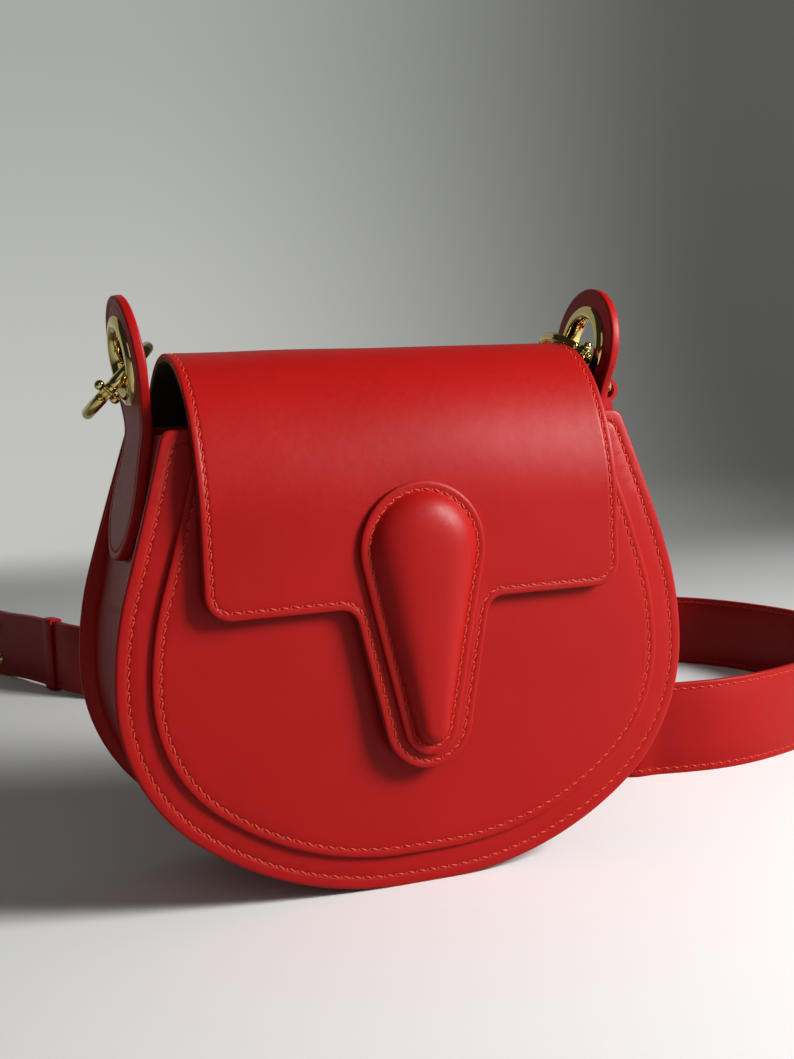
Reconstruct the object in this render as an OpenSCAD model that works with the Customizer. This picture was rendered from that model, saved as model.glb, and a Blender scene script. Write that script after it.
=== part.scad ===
// Round saddle handbag: two leather panels sewn to a gusset, a flap with a padded drop,
// a ring in an eyelet at each side, and a wide shoulder strap.
// X runs across the bag, the front faces -Y, Z is up, and the bag stands on Z = 0.
// It is drawn with its body's middle on Y = 0, then set back so that its box is centred over the origin.

/* [Body] */
// Widest point of the front and rear panels
body_w = 210; // [190:1:240]
// Height of the front and rear panels
panel_h = 161.5; // [150:0.5:180]
// Depth of the bag over both panels
depth = 70; // [60:1:90]
// Leather thickness of the panels
panel_t = 2.6; // [1.8:0.1:3.4]
// Half of the flat that each panel stands on
foot_half = 8; // [5:1:14]
// Height of the widest point
wide_z = 76; // [72:1:88]
// Radius of the lower corners
corner_r = 65; // [58:1:68]
// Radius of the bulging sides
side_r = 121; // [100:1:150]
// Lean of the straight upper sides, in degrees
side_a = 17.3; // [12:0.1:20]
// Radius of the panels' top corners
rim_r = 4; // [2:0.5:7]
// Height at which the panels start to lean in
lean_z = 120; // [105:1:135]
// How far the panels lean in at their top edge
lean_in = 4.5; // [2:0.1:5]
// Distance from the panel's edge to the raised front layer
overlay_inset = 11.5; // [8:0.5:16]
// Thickness of the raised front layer
overlay_t = 3; // [1.5:0.1:4]

/* [Gusset and side tabs] */
// How far the gusset lies inside the panels' edge
gusset_inset = 5; // [3:0.5:8]
// Lean of the gusset's straight ends, in degrees
gusset_a = 13; // [10:0.5:15]
// Leather thickness of the gusset
gusset_t = 2; // [1.2:0.1:2.6]
// Thickness of the turned-out flange under the border seam
flange_t = 1.6; // [1:0.1:2.2]
// Distance from the panel's edge to the flange's edge
flange_inset = 0.8; // [0.4:0.1:1.5]
// Leather thickness of the side tabs
tab_t = 3.5; // [2.5:0.1:4.5]
// Lean of the tabs' heads outward, in degrees
tab_lean = 7.5; // [4:0.5:12]
// Radius of the tabs' heads
head_r = 22; // [20:0.5:25]
// Rise of the eyelet's middle over the bend at the gusset's top
head_rise = 23.8; // [22.5:0.1:28]
// Radius of the tabs' sewn lower lobes
lobe_r = 20; // [16:0.5:22]
// Height from the lobe's centre to the head's centre
tab_pitch = 48; // [46:0.5:56]
// Radius of the tabs' drawn-in waist
waist_r = 34.5; // [28:0.5:44]

/* [Eyelets and rings] */
// Radius of the eyelet's hole
hole_r = 10; // [9:0.1:11]
// Outer radius of the eyelet
eyelet_r = 15.5; // [13.5:0.1:17]
// Height of the eyelet's dome over the leather
dome_h = 1.8; // [1:0.1:2.4]
// Wall of the eyelet's tube
eyelet_wall = 1; // [0.6:0.1:1.4]
// Radius of the ring, to the middle of its wire
ring_r = 15.2; // [14.8:0.1:16]
// Radius of the ring's wire
wire_r = 2; // [1.6:0.1:2.2]
// How far the ring hangs below the middle of the eyelet
ring_drop = 6.5; // [4:0.1:7]
// Distance from the eyelet's axis back to the ring's centre
ring_back = 12; // [11:0.5:13]
// Distance from the tab's middle out to the ring's centre
ring_out = 1.4; // [0.5:0.1:2.6]
// Slope of the ring, outer end down, in degrees
ring_tilt = 45; // [42:1:48]
// Share of a full turn that the spring gate takes, in degrees
gate_a = 90; // [70:1:100]
// Radius of the gate's hinge pin
gate_pin_r = 0.7; // [0.5:0.05:0.9]
// Radius of the pin's ball heads
ball_r = 1.7; // [1.2:0.1:1.9]

/* [Flap] */
// Clearance between the flap's ends and the rings
flap_ring_gap = 0.7594; // [0.5:0.0001:1.5]
// Height of the flap's crest over the floor
crest_z = 187; // [182:0.5:192]
// Height at which the flap's front starts to bend back
arch_front_z = 130; // [120:1:135]
// Height at which the flap's back starts to bend forward
arch_rear_z = 140; // [136:1:144]
// Outer leather of the flap
flap_t = 1.6; // [1:0.1:2]
// Lining of the flap
lining_t = 1; // [0.6:0.1:1.4]
// Play between the flap's lining and what it lies on
flap_play = 0.7; // [0.5:0.1:1.2]
// Height of the flap's lower edge
flap_low_z = 99.3; // [92:0.1:112]
// Radius of the flap's lower corners
flap_corner_r = 9; // [5:0.5:14]
// Radius where the flap runs into its tongue
tongue_fillet = 6; // [3:0.5:10]
// Width of the tongue at the flap's lower edge
tongue_w = 50; // [44:1:60]
// Height of the tongue's tip
tongue_low_z = 42.4; // [36:0.1:50]
// Radius of the tongue's tip
tongue_tip_r = 16; // [14:0.5:18]
// Height of the hinge line at the top of the back
hinge_z = 160; // [156:0.5:160]
// Lowest edge of the leaf that anchors the flap to the back
anchor_low_z = 112; // [100:1:125]

/* [Padded drop] */
// Radius of the drop's upper end
drop_r = 22.8; // [18:0.1:26]
// Radius of the drop's lower end
drop_tip_r = 10; // [7:0.1:14]
// Height of the upper end's centre
drop_z = 118; // [112:0.5:124]
// Height of the lower end's centre
drop_tip_z = 57.5; // [54:0.5:64]
// Thickness of the drop's sewn border
drop_border_t = 2; // [1.2:0.1:3]
// Width of the drop's sewn border
drop_border_w = 5; // [4:0.1:6]
// Height of the padded bulge over the border
pad_h = 6; // [3:0.1:9]
// Leather over the padding
pad_skin_t = 1.4; // [0.8:0.1:2]

/* [Magnetic snap] */
// Height of the snap's axis
snap_z = 66; // [58:1:80]
// Radius of the snap's discs
snap_r = 9; // [7:0.5:10]
// Radius of the stud on the flap
stud_r = 2.6; // [2:0.1:3.4]
// Radius of the socket's mouth
socket_r = 4.8; // [4.2:0.1:5.6]
// How far the stud reaches into the socket
stud_reach = 1.9; // [1:0.1:2.2]
// Thickness of the washers behind the snap's halves
snap_washer_t = 0.8; // [0.5:0.1:1]

/* [Lining and pocket] */
// Thickness of the body's lining
liner_t = 1; // [0.6:0.1:1.4]
// Width of the inner pocket
pocket_w = 110; // [80:1:130]
// Height of the inner pocket
pocket_h = 66; // [40:1:80]
// Gap inside the inner pocket
pocket_gap = 5; // [4.5:0.1:8]

/* [Strap] */
// Width of the strap
strap_w = 40; // [40:1:40]
// Thickness of the strap
strap_t = 2.8; // [2:0.1:3]
// Width of the strap's narrow ends
end_w = 14; // [12:0.5:16]
// Inner radius of the loops at the strap's ends
loop_r = 3.2; // [3:0.1:3.6]
// Thickness of the leather turned back at the strap's ends
turn_t = 1.6; // [1.2:0.1:2]
// Length of the keeper along the strap
keeper_w = 11; // [8:0.5:14]
// Leather thickness of the keeper
keeper_t = 1.4; // [1:0.1:1.6]
// Radius of the screw studs' heads
screw_r = 3.6; // [2.8:0.1:4.2]
// Height of the screw studs' heads
screw_h = 1.4; // [0.8:0.1:2]

/* [Hidden] */
$fn = 64;

// Play between pieces that only lie against each other
play = 0.2;
// Overrun of every cut
over = 1;
// Running play between the gate's knuckle and its pin
pin_play = 0.05;
// Steps along a long arc, a middling arc and a short one
long_steps = 14;
mid_steps = 8;
short_steps = 4;

// Panel outline, in X and Z
corner_x = body_w/2 - corner_r;
bottom_r = (pow(corner_x - foot_half, 2) + pow(wide_z, 2) - pow(corner_r, 2))/(2*(wide_z - corner_r));
bottom_a = atan2(wide_z - bottom_r, corner_x - foot_half);
side_c = [body_w/2 - side_r, wide_z];

function arc(c, r, a0, a1, n) = [for (i = [0:n]) c + r*[cos(a0 + (a1 - a0)*i/n), sin(a0 + (a1 - a0)*i/n)]];
function both_sides(half) = concat(half, [for (i = [len(half) - 1:-1:0]) [-half[i][0], half[i][1]]]);
function dir(a) = [cos(a), sin(a)];
function unit(v) = v/norm(v);

// Right half of the panel's outline, drawn in by inset, up to top, with sides that lean by a
function half_outline(inset, top, a) =
    let (reach = side_c*dir(a) + side_r - inset,
        rim_z = top - rim_r,
        rim_x = (reach - rim_r - rim_z*sin(a))/cos(a))
    concat(arc([foot_half, bottom_r], bottom_r - inset, -90, bottom_a, mid_steps),
        arc([corner_x, wide_z], corner_r - inset, bottom_a, 0, long_steps),
        arc(side_c, side_r - inset, 0, a, short_steps),
        arc([rim_x, rim_z], rim_r, a, 90, short_steps));

module outline(inset, top, a) {
    polygon(both_sides(half_outline(inset, top, a)));
}

// Extrudes a drawing in X and Z along Y
module along_y(y0, y1) {
    rotate([90, 0, 0])
        translate([0, 0, -y1])
            linear_extrude(y1 - y0) children();
}

// Extrudes a drawing in Y and Z along X, both ways
module along_x(half) {
    rotate([90, 0, 90])
        translate([0, 0, -half])
            linear_extrude(2*half) children();
}

function lean_at(z) = z < lean_z ? 0 : lean_in*(z - lean_z)/(panel_h - lean_z);

// Space from near to far inside the outer face of a panel; side is -1 in front and 1 behind
module wall_space(side, near, far) {
    top = panel_h + over;
    along_x(body_w)
        polygon([[side*(depth/2 - near), -over], [side*(depth/2 - near), lean_z],
            [side*(depth/2 - near - lean_at(top)), top], [side*(depth/2 - far - lean_at(top)), top],
            [side*(depth/2 - far), lean_z], [side*(depth/2 - far), -over]]);
}

// Space between the two panels, drawn in by inset from their outer faces
module inner_space(inset) {
    top = panel_h + over;
    half = depth/2 - inset;
    along_x(body_w)
        polygon([[-half, -over], [-half, lean_z], [lean_at(top) - half, top],
            [half - lean_at(top), top], [half, lean_z], [half, -over]]);
}

module panel(side) {
    intersection() {
        along_y(-depth, depth) outline(0, panel_h, side_a);
        wall_space(side, 0, panel_t);
    }
}

// Socket for the snap, cut through what lies in front of it
module snap_hole(r) {
    translate([0, 0, snap_z])
        rotate([90, 0, 0]) cylinder(r = r, h = depth);
}

module front_panel() {
    color("#cf2a22") difference() {
        panel(-1);
        snap_hole(socket_r);
    }
}

module front_overlay() {
    color("#d22c24") difference() {
        intersection() {
            along_y(-depth, depth) outline(overlay_inset, panel_h - overlay_inset, side_a);
            wall_space(-1, -overlay_t, 0);
        }
        snap_hole(snap_r + play);
    }
}

module rear_panel() {
    color("#c4261f") panel(1);
}

// U-shaped band that follows the outline, from outer to inner, open at the top
module band(outer, inner, a_outer, a_inner, top) {
    difference() {
        outline(outer, top, a_outer);
        outline(inner, top + 2*rim_r + over, a_inner);
    }
}

gusset_top = panel_h - overlay_t/2;
web_in = gusset_inset + gusset_t;

module gusset() {
    color("#b5231d") union() {
        intersection() {
            along_y(-depth, depth) band(gusset_inset, web_in, gusset_a, gusset_a, gusset_top);
            inner_space(panel_t);
        }
        for (side = [-1, 1])
            intersection() {
                along_y(-depth, depth) band(flange_inset, web_in, side_a, gusset_a, gusset_top);
                wall_space(side, panel_t, panel_t + flange_t);
            }
    }
}

// Lining plates lie on the panels inside the gusset's own lining
liner_in = web_in + liner_t + play;
liner_top = panel_h - overlay_inset/2;

module liner_plate(side) {
    color("#c9a176") intersection() {
        along_y(-depth, depth) outline(liner_in, liner_top, side_a);
        wall_space(side, panel_t, panel_t + liner_t);
    }
}

module front_lining() {
    difference() {
        liner_plate(-1);
        snap_hole(snap_r + play);
    }
}

module rear_lining() {
    liner_plate(1);
}

module gusset_lining() {
    color("#c9a176") intersection() {
        along_y(-depth, depth) band(web_in, web_in + liner_t, gusset_a, gusset_a, liner_top);
        inner_space(panel_t + flange_t);
    }
}

// Open pocket on the rear lining
pocket_wall = liner_t;
pocket_low_z = lean_z - pocket_h;
pocket_y = depth/2 - panel_t - liner_t;

module inner_pocket() {
    out = pocket_gap + pocket_wall;
    color("#bf966c") translate([0, pocket_y, pocket_low_z]) difference() {
        translate([-pocket_w/2, -out, 0]) cube([pocket_w, out, pocket_h]);
        translate([pocket_wall - pocket_w/2, -pocket_gap, pocket_wall])
            cube([pocket_w - 2*pocket_wall, pocket_gap + over, pocket_h]);
    }
}

// Side tabs: the lower lobe lies on the gusset's end, the head leans out above the bend
tab_bend_z = panel_h + play;
function gusset_x(z) = (side_c*dir(gusset_a) + side_r - gusset_inset - z*sin(gusset_a))/cos(gusset_a);
tab_bend = [gusset_x(tab_bend_z), tab_bend_z];
tab_up = [sin(tab_lean), cos(tab_lean)];
tab_out = [cos(tab_lean), -sin(tab_lean)];
head_c = tab_bend + head_rise*tab_up + tab_out*tab_t/2;
lobe_z = head_c[1] - tab_pitch;

module tab_side_view() {
    a = head_r + waist_r;
    b = lobe_r + waist_r;
    up = (pow(tab_pitch, 2) + pow(b, 2) - pow(a, 2))/(2*tab_pitch);
    across = sqrt(pow(b, 2) - pow(up, 2));
    translate([0, head_c[1]]) circle(r = head_r);
    translate([0, lobe_z]) circle(r = lobe_r);
    difference() {
        polygon([[0, lobe_z], [across, lobe_z + up], [0, head_c[1]], [-across, lobe_z + up]]);
        for (side = [-1, 1]) translate([side*across, lobe_z + up]) circle(r = waist_r);
    }
}

// Puts a drawing's middle on the axis of the right eyelet, with its Z pointing out of the bag
module on_eyelet() {
    translate([head_c[0], 0, head_c[1]])
        rotate([0, 90 + tab_lean, 0]) children();
}

module side_tab() {
    low = [gusset_x(lobe_z - 2*lobe_r), lobe_z - 2*lobe_r];
    high = tab_bend + 3*head_r*tab_up;
    out = dir(gusset_a);
    corner = (out + tab_out)/(1 + out*tab_out);
    color("#c72720") difference() {
        intersection() {
            along_y(-head_r - over, head_r + over)
                polygon([low, tab_bend, high, high + tab_t*tab_out, tab_bend + tab_t*corner, low + tab_t*out]);
            rotate([90, 0, 90]) linear_extrude(body_w) tab_side_view();
        }
        on_eyelet() cylinder(r = hole_r + eyelet_wall + pin_play, h = 4*tab_t, center = true);
    }
}

// Half of the eyelet's section, from the tab's middle out over its face
module eyelet_section() {
    top_r = hole_r + (eyelet_r - hole_r)/2;
    top_h = tab_t/2 + dome_h;
    inside = [for (i = [0:mid_steps]) [top_r - (top_r - hole_r)*cos(90*i/mid_steps), top_h*sin(90*i/mid_steps)]];
    outside = [for (i = [1:mid_steps])
        [top_r + (eyelet_r - top_r)*sin(90*i/mid_steps), tab_t/2 + dome_h*cos(90*i/mid_steps)]];
    polygon(concat(inside, outside, [[hole_r + eyelet_wall, tab_t/2], [hole_r + eyelet_wall, 0]]));
}

module eyelet() {
    color("#e0bd62") on_eyelet() rotate_extrude() eyelet_section();
}

module eyelet_washer() {
    color("#d9b45a") on_eyelet() mirror([0, 0, 1]) rotate_extrude() eyelet_section();
}

// Rings: in a ring's own drawing the gate's pin is on +X and the gate runs from there towards +Y
ring_c = [head_c[0] + ring_out, ring_back, head_c[1] - ring_drop];
// Width of the flap: its ends stop just short of the rings
flap_w = 2*(ring_c[0] - ring_r*cos(ring_tilt) - wire_r - flap_ring_gap);
// The gate's hinge, as shares of the wire's radius: its cheeks, half the slot between them, and the tang
knuckle_share = 1.2;
cheek_share = 0.4;
tang_share = 1.5;
knuckle_r = knuckle_share*wire_r;
cheek_gap = cheek_share*wire_r;
// Gap between the gate's ends and the ring's
gate_gap = 0.3;
// Slot for the tang round the knuckle
tang_play = 0.9;
// Turn of the gate's pin round the left ring and the right one, in degrees
left_pin_a = -62;
right_pin_a = -114;
// The left ring hangs turned by this about its slope, in degrees
left_turn = -7;

// Puts a ring's drawing in its place at the right side
module on_ring() {
    translate(ring_c)
        rotate([0, ring_tilt, 0]) children();
}

module wire(a0, a1) {
    rotate([0, 0, a0])
        rotate_extrude(angle = a1 - a0) translate([ring_r, 0]) circle(r = wire_r);
}

// Angle along the ring that a length takes up
function turn_of(length) = 2*asin(length/(2*ring_r));

module at_pin() {
    translate([ring_r, 0, 0]) children();
}

// The gate's free end is round about the pin, so that it swings past the ring's end
gate_reach = 2*ring_r*sin(gate_a/2);

module ring_body() {
    color("#e3c067") difference() {
        union() {
            wire(gate_a - turn_of(wire_r), 360);
            at_pin() cylinder(r = knuckle_r, h = 2*wire_r, center = true);
        }
        intersection() {
            at_pin() cylinder(r = gate_reach + gate_gap, h = 4*wire_r, center = true);
            translate([-2*ring_r, knuckle_r, -ring_r]) cube([4*ring_r, 2*ring_r, 2*ring_r]);
        }
        at_pin() cylinder(r = knuckle_r + tang_play, h = 2*cheek_gap, center = true);
        at_pin() cylinder(r = gate_pin_r + pin_play, h = 4*wire_r, center = true);
    }
}

// The gate ends in a flat tang that turns between the ring's cheeks
module ring_gate() {
    tang_h = 2*(cheek_gap - pin_play);
    tang_w = tang_share*wire_r;
    color("#d8b356") difference() {
        union() {
            intersection() {
                wire(turn_of(knuckle_r + gate_gap), gate_a + turn_of(wire_r));
                at_pin() cylinder(r = gate_reach, h = 4*wire_r, center = true);
            }
            at_pin() cylinder(r = knuckle_r, h = tang_h, center = true);
            translate([ring_r - tang_w/2, 0, -tang_h/2]) cube([tang_w, 2*knuckle_r, tang_h]);
        }
        at_pin() cylinder(r = gate_pin_r + pin_play, h = 4*wire_r, center = true);
    }
}

// The pin's ends are balls that stand on the cheeks
module gate_pin() {
    ball_z = wire_r + ball_r;
    color("#edcf7c") at_pin() union() {
        cylinder(r = gate_pin_r, h = 2*ball_z, center = true);
        for (side = [-1, 1]) translate([0, 0, side*ball_z]) sphere(r = ball_r);
    }
}

module left_place() {
    mirror([1, 0, 0]) on_ring() rotate([left_turn, 0, 0]) rotate([0, 0, left_pin_a]) children();
}

module right_place() {
    on_ring() rotate([0, 0, right_pin_a]) rotate([180, 0, 0]) children();
}

// Flap: section in Y and Z, an arch over the bag with a straight front
flap_full_t = flap_t + lining_t;
front_y = depth/2 + overlay_t + flap_play + flap_full_t;
rear_y = depth/2 + flap_full_t;

// Point of the arch's section, inset from its outer face; a is 0 behind and 180 in front
function arch_point(inset, a) = a < 90
    ? [(rear_y - inset)*cos(a), arch_rear_z + (crest_z - arch_rear_z - inset)*sin(a)]
    : [(front_y - inset)*cos(a), arch_front_z + (crest_z - arch_front_z - inset)*sin(a)];

function arch(inset, a0, a1, n) = [for (i = [0:n]) arch_point(inset, a0 + (a1 - a0)*i/n)];

// The flap turns about a line in the leather's outer face, so that it opens clear of its anchor
hinge_a = asin((hinge_z - arch_rear_z)/(crest_z - arch_rear_z));
hinge = arch_point(0, hinge_a);
// Angle on the arch that the gap below the hinge takes
hinge_gap_a = atan(play/(crest_z - hinge_z));
arch_steps = 3*mid_steps;

module flap_section(outer, inner) {
    polygon(concat(arch(outer, hinge_a, 180, arch_steps), [[outer - front_y, 0], [inner - front_y, 0]],
        arch(inner, 180, hinge_a, arch_steps)));
}

// Centre and slope of the tongue's side, which touches the tip's circle
tongue_tip = [0, tongue_low_z + tongue_tip_r];
tongue_top = [tongue_w/2, flap_low_z];
tongue_reach = norm(tongue_top - tongue_tip);
tongue_a = atan2(tongue_top[1] - tongue_tip[1], tongue_top[0]) - acos(tongue_tip_r/tongue_reach);
tongue_side = tongue_tip + tongue_tip_r*dir(tongue_a);
tongue_up = unit(tongue_top - tongue_side);
// Where the fillet between the tongue and the flap's edge has its centre
fillet_turn = (90 + atan2(tongue_up[0], tongue_up[1]))/2;
fillet_run = tongue_fillet*tan(90 - fillet_turn);
fillet_c = tongue_top + [fillet_run, -tongue_fillet];

module flap_front_view() {
    half = concat(arc(tongue_tip, tongue_tip_r, -90, tongue_a, mid_steps),
        arc(fillet_c, tongue_fillet, 180 + tongue_a, 90, short_steps),
        arc([flap_w/2 - flap_corner_r, flap_low_z + flap_corner_r], flap_corner_r, -90, 0, mid_steps),
        [[flap_w/2, crest_z + over]]);
    polygon(both_sides(half));
}

module flap_layer(outer, inner) {
    intersection() {
        along_x(flap_w) flap_section(outer, inner);
        along_y(-2*front_y, 2*front_y) flap_front_view();
    }
}

module flap_panel() {
    color("#d62d25") difference() {
        flap_layer(0, flap_t);
        snap_hole(shank_r + pin_play);
    }
}

module flap_lining() {
    color("#cfa87c") difference() {
        flap_layer(flap_t, flap_full_t);
        snap_hole(snap_r + play);
    }
}

// Leaf on the back that the flap grows out of, up to just below the hinge line
module flap_anchor() {
    half = concat(arc([flap_w/2 - flap_corner_r, anchor_low_z + flap_corner_r], flap_corner_r, -90, 0, mid_steps),
        [[flap_w/2, crest_z]]);
    color("#c9281f") intersection() {
        along_x(flap_w)
            polygon(concat(arch(0, 0, hinge_a - hinge_gap_a, mid_steps),
                arch(flap_full_t, hinge_a - hinge_gap_a, 0, mid_steps),
                [[rear_y - flap_full_t, 0], [rear_y, 0]]));
        along_y(0, 2*front_y) polygon(both_sides(half));
    }
}

// Padded drop on the flap and its tongue
drop_a = asin((drop_r - drop_tip_r)/(drop_z - drop_tip_z));

function drop_outline(inset) = concat(
    arc([0, drop_z], drop_r - inset, -drop_a, 180 + drop_a, 2*long_steps),
    arc([0, drop_tip_z], drop_tip_r - inset, 180 + drop_a, 360 - drop_a, long_steps));

module drop_border() {
    color("#cd2921") translate([0, -front_y, 0]) along_y(-drop_border_t, 0)
        difference() {
            polygon(drop_outline(0));
            polygon(drop_outline(drop_border_w));
        }
}

// Bulge that swells from the outline's inset to full height with a round shoulder
module swell(inset, height, base) {
    rings = mid_steps;
    shoulder = drop_tip_r - inset - play;
    points = [for (i = [0:rings]) for (p = drop_outline(inset + shoulder*(1 - cos(90*i/rings))))
        [p[0], -base - height*sin(90*i/rings), p[1]]];
    n = len(drop_outline(0));
    around = [for (i = [0:rings - 1]) for (j = [0:n - 1]) each [
        [i*n + j, (i + 1)*n + j, i*n + (j + 1)%n],
        [i*n + (j + 1)%n, (i + 1)*n + j, (i + 1)*n + (j + 1)%n]]];
    polyhedron(points, concat([[for (j = [0:n - 1]) j]], around, [[for (j = [n - 1:-1:0]) rings*n + j]]));
}

module drop_cover() {
    color("#d8332b") difference() {
        swell(drop_border_w, drop_border_t + pad_h, front_y);
        swell(drop_border_w + pad_skin_t, drop_border_t + pad_h - pad_skin_t, front_y);
    }
}

module drop_foam() {
    color("#e8dcc2") difference() {
        swell(drop_border_w + pad_skin_t + play, drop_border_t + pad_h - pad_skin_t - play, front_y);
        translate([0, over - front_y, snap_z]) rotate([90, 0, 0])
            cylinder(r = stud_washer_r + play, h = snap_washer_t + play + over);
    }
}

// Magnetic snap: the stud sits in the flap's lining, the socket in the raised front layer
shank_r = stud_r/2;
stud_washer_r = stud_r + shank_r;

module snap_stud() {
    color("#b9b9b4") translate([0, flap_t - front_y, snap_z]) rotate([-90, 0, 0]) union() {
        cylinder(r = snap_r, h = lining_t);
        cylinder(r = stud_r, h = lining_t + flap_play + stud_reach);
        translate([0, 0, -flap_t - snap_washer_t]) cylinder(r = shank_r, h = flap_t + snap_washer_t + play);
    }
}

module snap_stud_washer() {
    color("#a9a9a4") translate([0, -front_y, snap_z]) rotate([90, 0, 0]) difference() {
        cylinder(r = stud_washer_r, h = snap_washer_t);
        translate([0, 0, -over]) cylinder(r = shank_r + pin_play, h = snap_washer_t + 2*over);
    }
}

module snap_socket() {
    color("#b9b9b4") translate([0, -depth/2, snap_z]) rotate([90, 0, 0]) difference() {
        cylinder(r = snap_r, h = overlay_t);
        translate([0, 0, -over]) cylinder(r = socket_r, h = overlay_t + 2*over);
    }
}

module snap_socket_washer() {
    color("#a9a9a4") translate([0, panel_t - depth/2, snap_z]) rotate([-90, 0, 0])
        cylinder(r = snap_r, h = snap_washer_t);
}

// Strap: points of its middle line, the way its width points there, and its width there
low_end = ring_c + ring_r*[cos(ring_tilt), 0, -sin(ring_tilt)];
// How far the ring's wire curves out of line inside the strap's end loop
ring_sag = ring_r - sqrt(pow(ring_r, 2) - pow(end_w/2, 2));

// Near the floor the strap rolls half a turn round a slanting axis, from hanging down to lying on edge
roll_start = [108, 55, 42.2];
roll_r = 10;
roll_axis = unit([1, 0, -1]);
roll_y = [0, 1, 0];
roll_low = unit([-1, 0, -1]);
roll_steps = 5;
function roll_face(a) = cos(a)*roll_y + sin(a)*roll_low;
function roll_point(a) = roll_start + roll_r*(PI*a/180*roll_axis + roll_face(a));
function roll_width(a) = cross(roll_face(a), unit(roll_axis - sin(a)*roll_y + cos(a)*roll_low));
roll_rows = [for (i = [0:roll_steps])
    concat(roll_point(180*i/roll_steps), roll_width(180*i/roll_steps), [strap_w])];

// Hanging straight from the ring, then falling back behind the bag to the roll
hang_seat = low_end - unit([cos(ring_tilt), 0, -sin(ring_tilt)])*ring_sag/2;
hang_way = unit([0.15, 0, -1]);
// Distance from the ring's wire down the hanging stretch, and the strap's width there
hang_runs = [[8, end_w], [16, end_w], [24, 20]];
hang_rows = [for (run = hang_runs) concat(hang_seat + run[0]*hang_way, [0, -1, 0, run[1]])];
fall_rows = [[107.5, 17, 133, 0, -1, 0, 34], [112, 27, 118, -0.15, -1, 0, 40], [117, 40, 101, -0.4, -1, 0, 40],
    [119, 54, 84, -0.8, -0.9, 0, 40], [116, 62, 69, -1, -0.5, 0, 40], [111, 65, 55, -1, -0.15, 0, 40]];

// On edge on the floor, round the open loop and on to the free end
floor_rows = [[142, 43.5, 20], [155, 40.5, 20], [169, 38.5, 20], [184, 39, 20], [201, 42.5, 20], [220, 49, 20],
    [241, 58, 20], [263, 71, 20], [284, 90, 20], [300, 115, 20], [309, 145, 20], [311, 175, 20], [307, 204, 20],
    [299, 230, 20], [286, 252, 20], [260, 279, 20], [224, 308, 20], [180, 334, 20], [130, 348, 20], [80, 347, 20],
    [30, 334, 20], [-12, 323, 20], [-42, 331, 21], [-57, 352, 22], [-66, 380, 22], [-75, 408, 22], [-84, 436, 21],
    [-92, 462, 20]];
end_rows = [[-98, 484, 20, 0, 0, 1, 26], [-102, 500, 20, 0, 0, 1, 14]];
route = concat(hang_rows, fall_rows, roll_rows, [for (p = floor_rows) concat(p, [0, 0, 1, strap_w])], end_rows);
// Steps between two points of the route
route_steps = 2;
// Edge bevel of the strap's section
strap_bevel = 0.6;

// Smooth curve through the route's rows, at row i and share s of the way to the next
function spline(i, s) =
    let (p0 = route[max(i - 1, 0)], p1 = route[i], p2 = route[i + 1], p3 = route[min(i + 2, len(route) - 1)])
    0.5*(2*p1 + s*(p2 - p0) + s*s*(2*p0 - 5*p1 + 4*p2 - p3) + s*s*s*(3*p1 - p0 - 3*p2 + p3));
strap_rows = concat([for (i = [0:len(route) - 2]) for (k = [0:route_steps - 1]) spline(i, k/route_steps)],
    [route[len(route) - 1]]);

function place(row) = [row[0], row[1], row[2]];
function way(rows, i) = unit(place(rows[min(i + 1, len(rows) - 1)]) - place(rows[max(i - 1, 0)]));
// Across the strap and out of its face, square to the way it runs
function across(rows, i) =
    let (t = way(rows, i), w = [rows[i][3], rows[i][4], rows[i][5]]) unit(w - (w*t)*t);
function face(rows, i) = cross(way(rows, i), across(rows, i));

// Sweeps the strap's section along rows, shifted out of its face, thick and narrower by less
module sweep(rows, shift, thick, less) {
    b = strap_bevel;
    points = [for (i = [0:len(rows) - 1])
        let (h = (rows[i][6] - less)/2, t = thick/2, w = across(rows, i), f = face(rows, i),
            c = place(rows[i]) + shift*f)
        for (p = [[h, t - b], [h - b, t], [b - h, t], [-h, t - b], [-h, b - t], [b - h, -t], [h - b, -t], [h, b - t]])
            c + p[0]*w + p[1]*f];
    n = 8;
    m = len(rows);
    around = [for (i = [0:m - 2]) for (j = [0:n - 1]) each [
        [i*n + j, (i + 1)*n + j, i*n + (j + 1)%n],
        [i*n + (j + 1)%n, (i + 1)*n + j, (i + 1)*n + (j + 1)%n]]];
    polyhedron(points, concat([[for (j = [0:n - 1]) j]], around, [[for (j = [n - 1:-1:0]) (m - 1)*n + j]]));
}

function part_of(rows, first, last) = [for (i = [first:last]) rows[i]];
last_row = len(strap_rows) - 1;
// First row of the doubled stretch at the free end, and the rows that carry the keeper and the screws
turn_row = last_row - 13;
keeper_row = last_row - 10;
screw_row = last_row - 5;
turn_shift = -(strap_t + turn_t)/2 - play/2;

module strap_band() {
    color("#c4241e") sweep(strap_rows, 0, strap_t, 0);
}

module strap_turnback() {
    color("#b8211b") sweep(part_of(strap_rows, turn_row, last_row), turn_shift, turn_t, 0);
}

// Puts a drawing at a row: X along the strap, Y out of its face, Z across it
module at_row(rows, i, shift) {
    t = way(rows, i);
    f = face(rows, i);
    w = across(rows, i);
    c = place(rows[i]) + shift*f;
    multmatrix([[t[0], f[0], w[0], c[0]], [t[1], f[1], w[1], c[1]], [t[2], f[2], w[2], c[2]]]) children();
}

// Loop that closes a narrow end: a turned tube and a short leg that meets the strap
module end_loop(thick, gap) {
    outer = loop_r + turn_t;
    translate([gap, 0, -end_w/2]) linear_extrude(end_w) difference() {
        union() {
            circle(r = outer);
            translate([-gap, -thick/2]) square([gap, thick]);
        }
        circle(r = loop_r);
    }
}

// The ring's wire lies in this loop with play
module strap_ring_loop() {
    color("#b8211b") at_row(strap_rows, 0, 0) mirror([1, 0, 0])
        end_loop(strap_t, norm(place(strap_rows[0]) - hang_seat));
}

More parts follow.
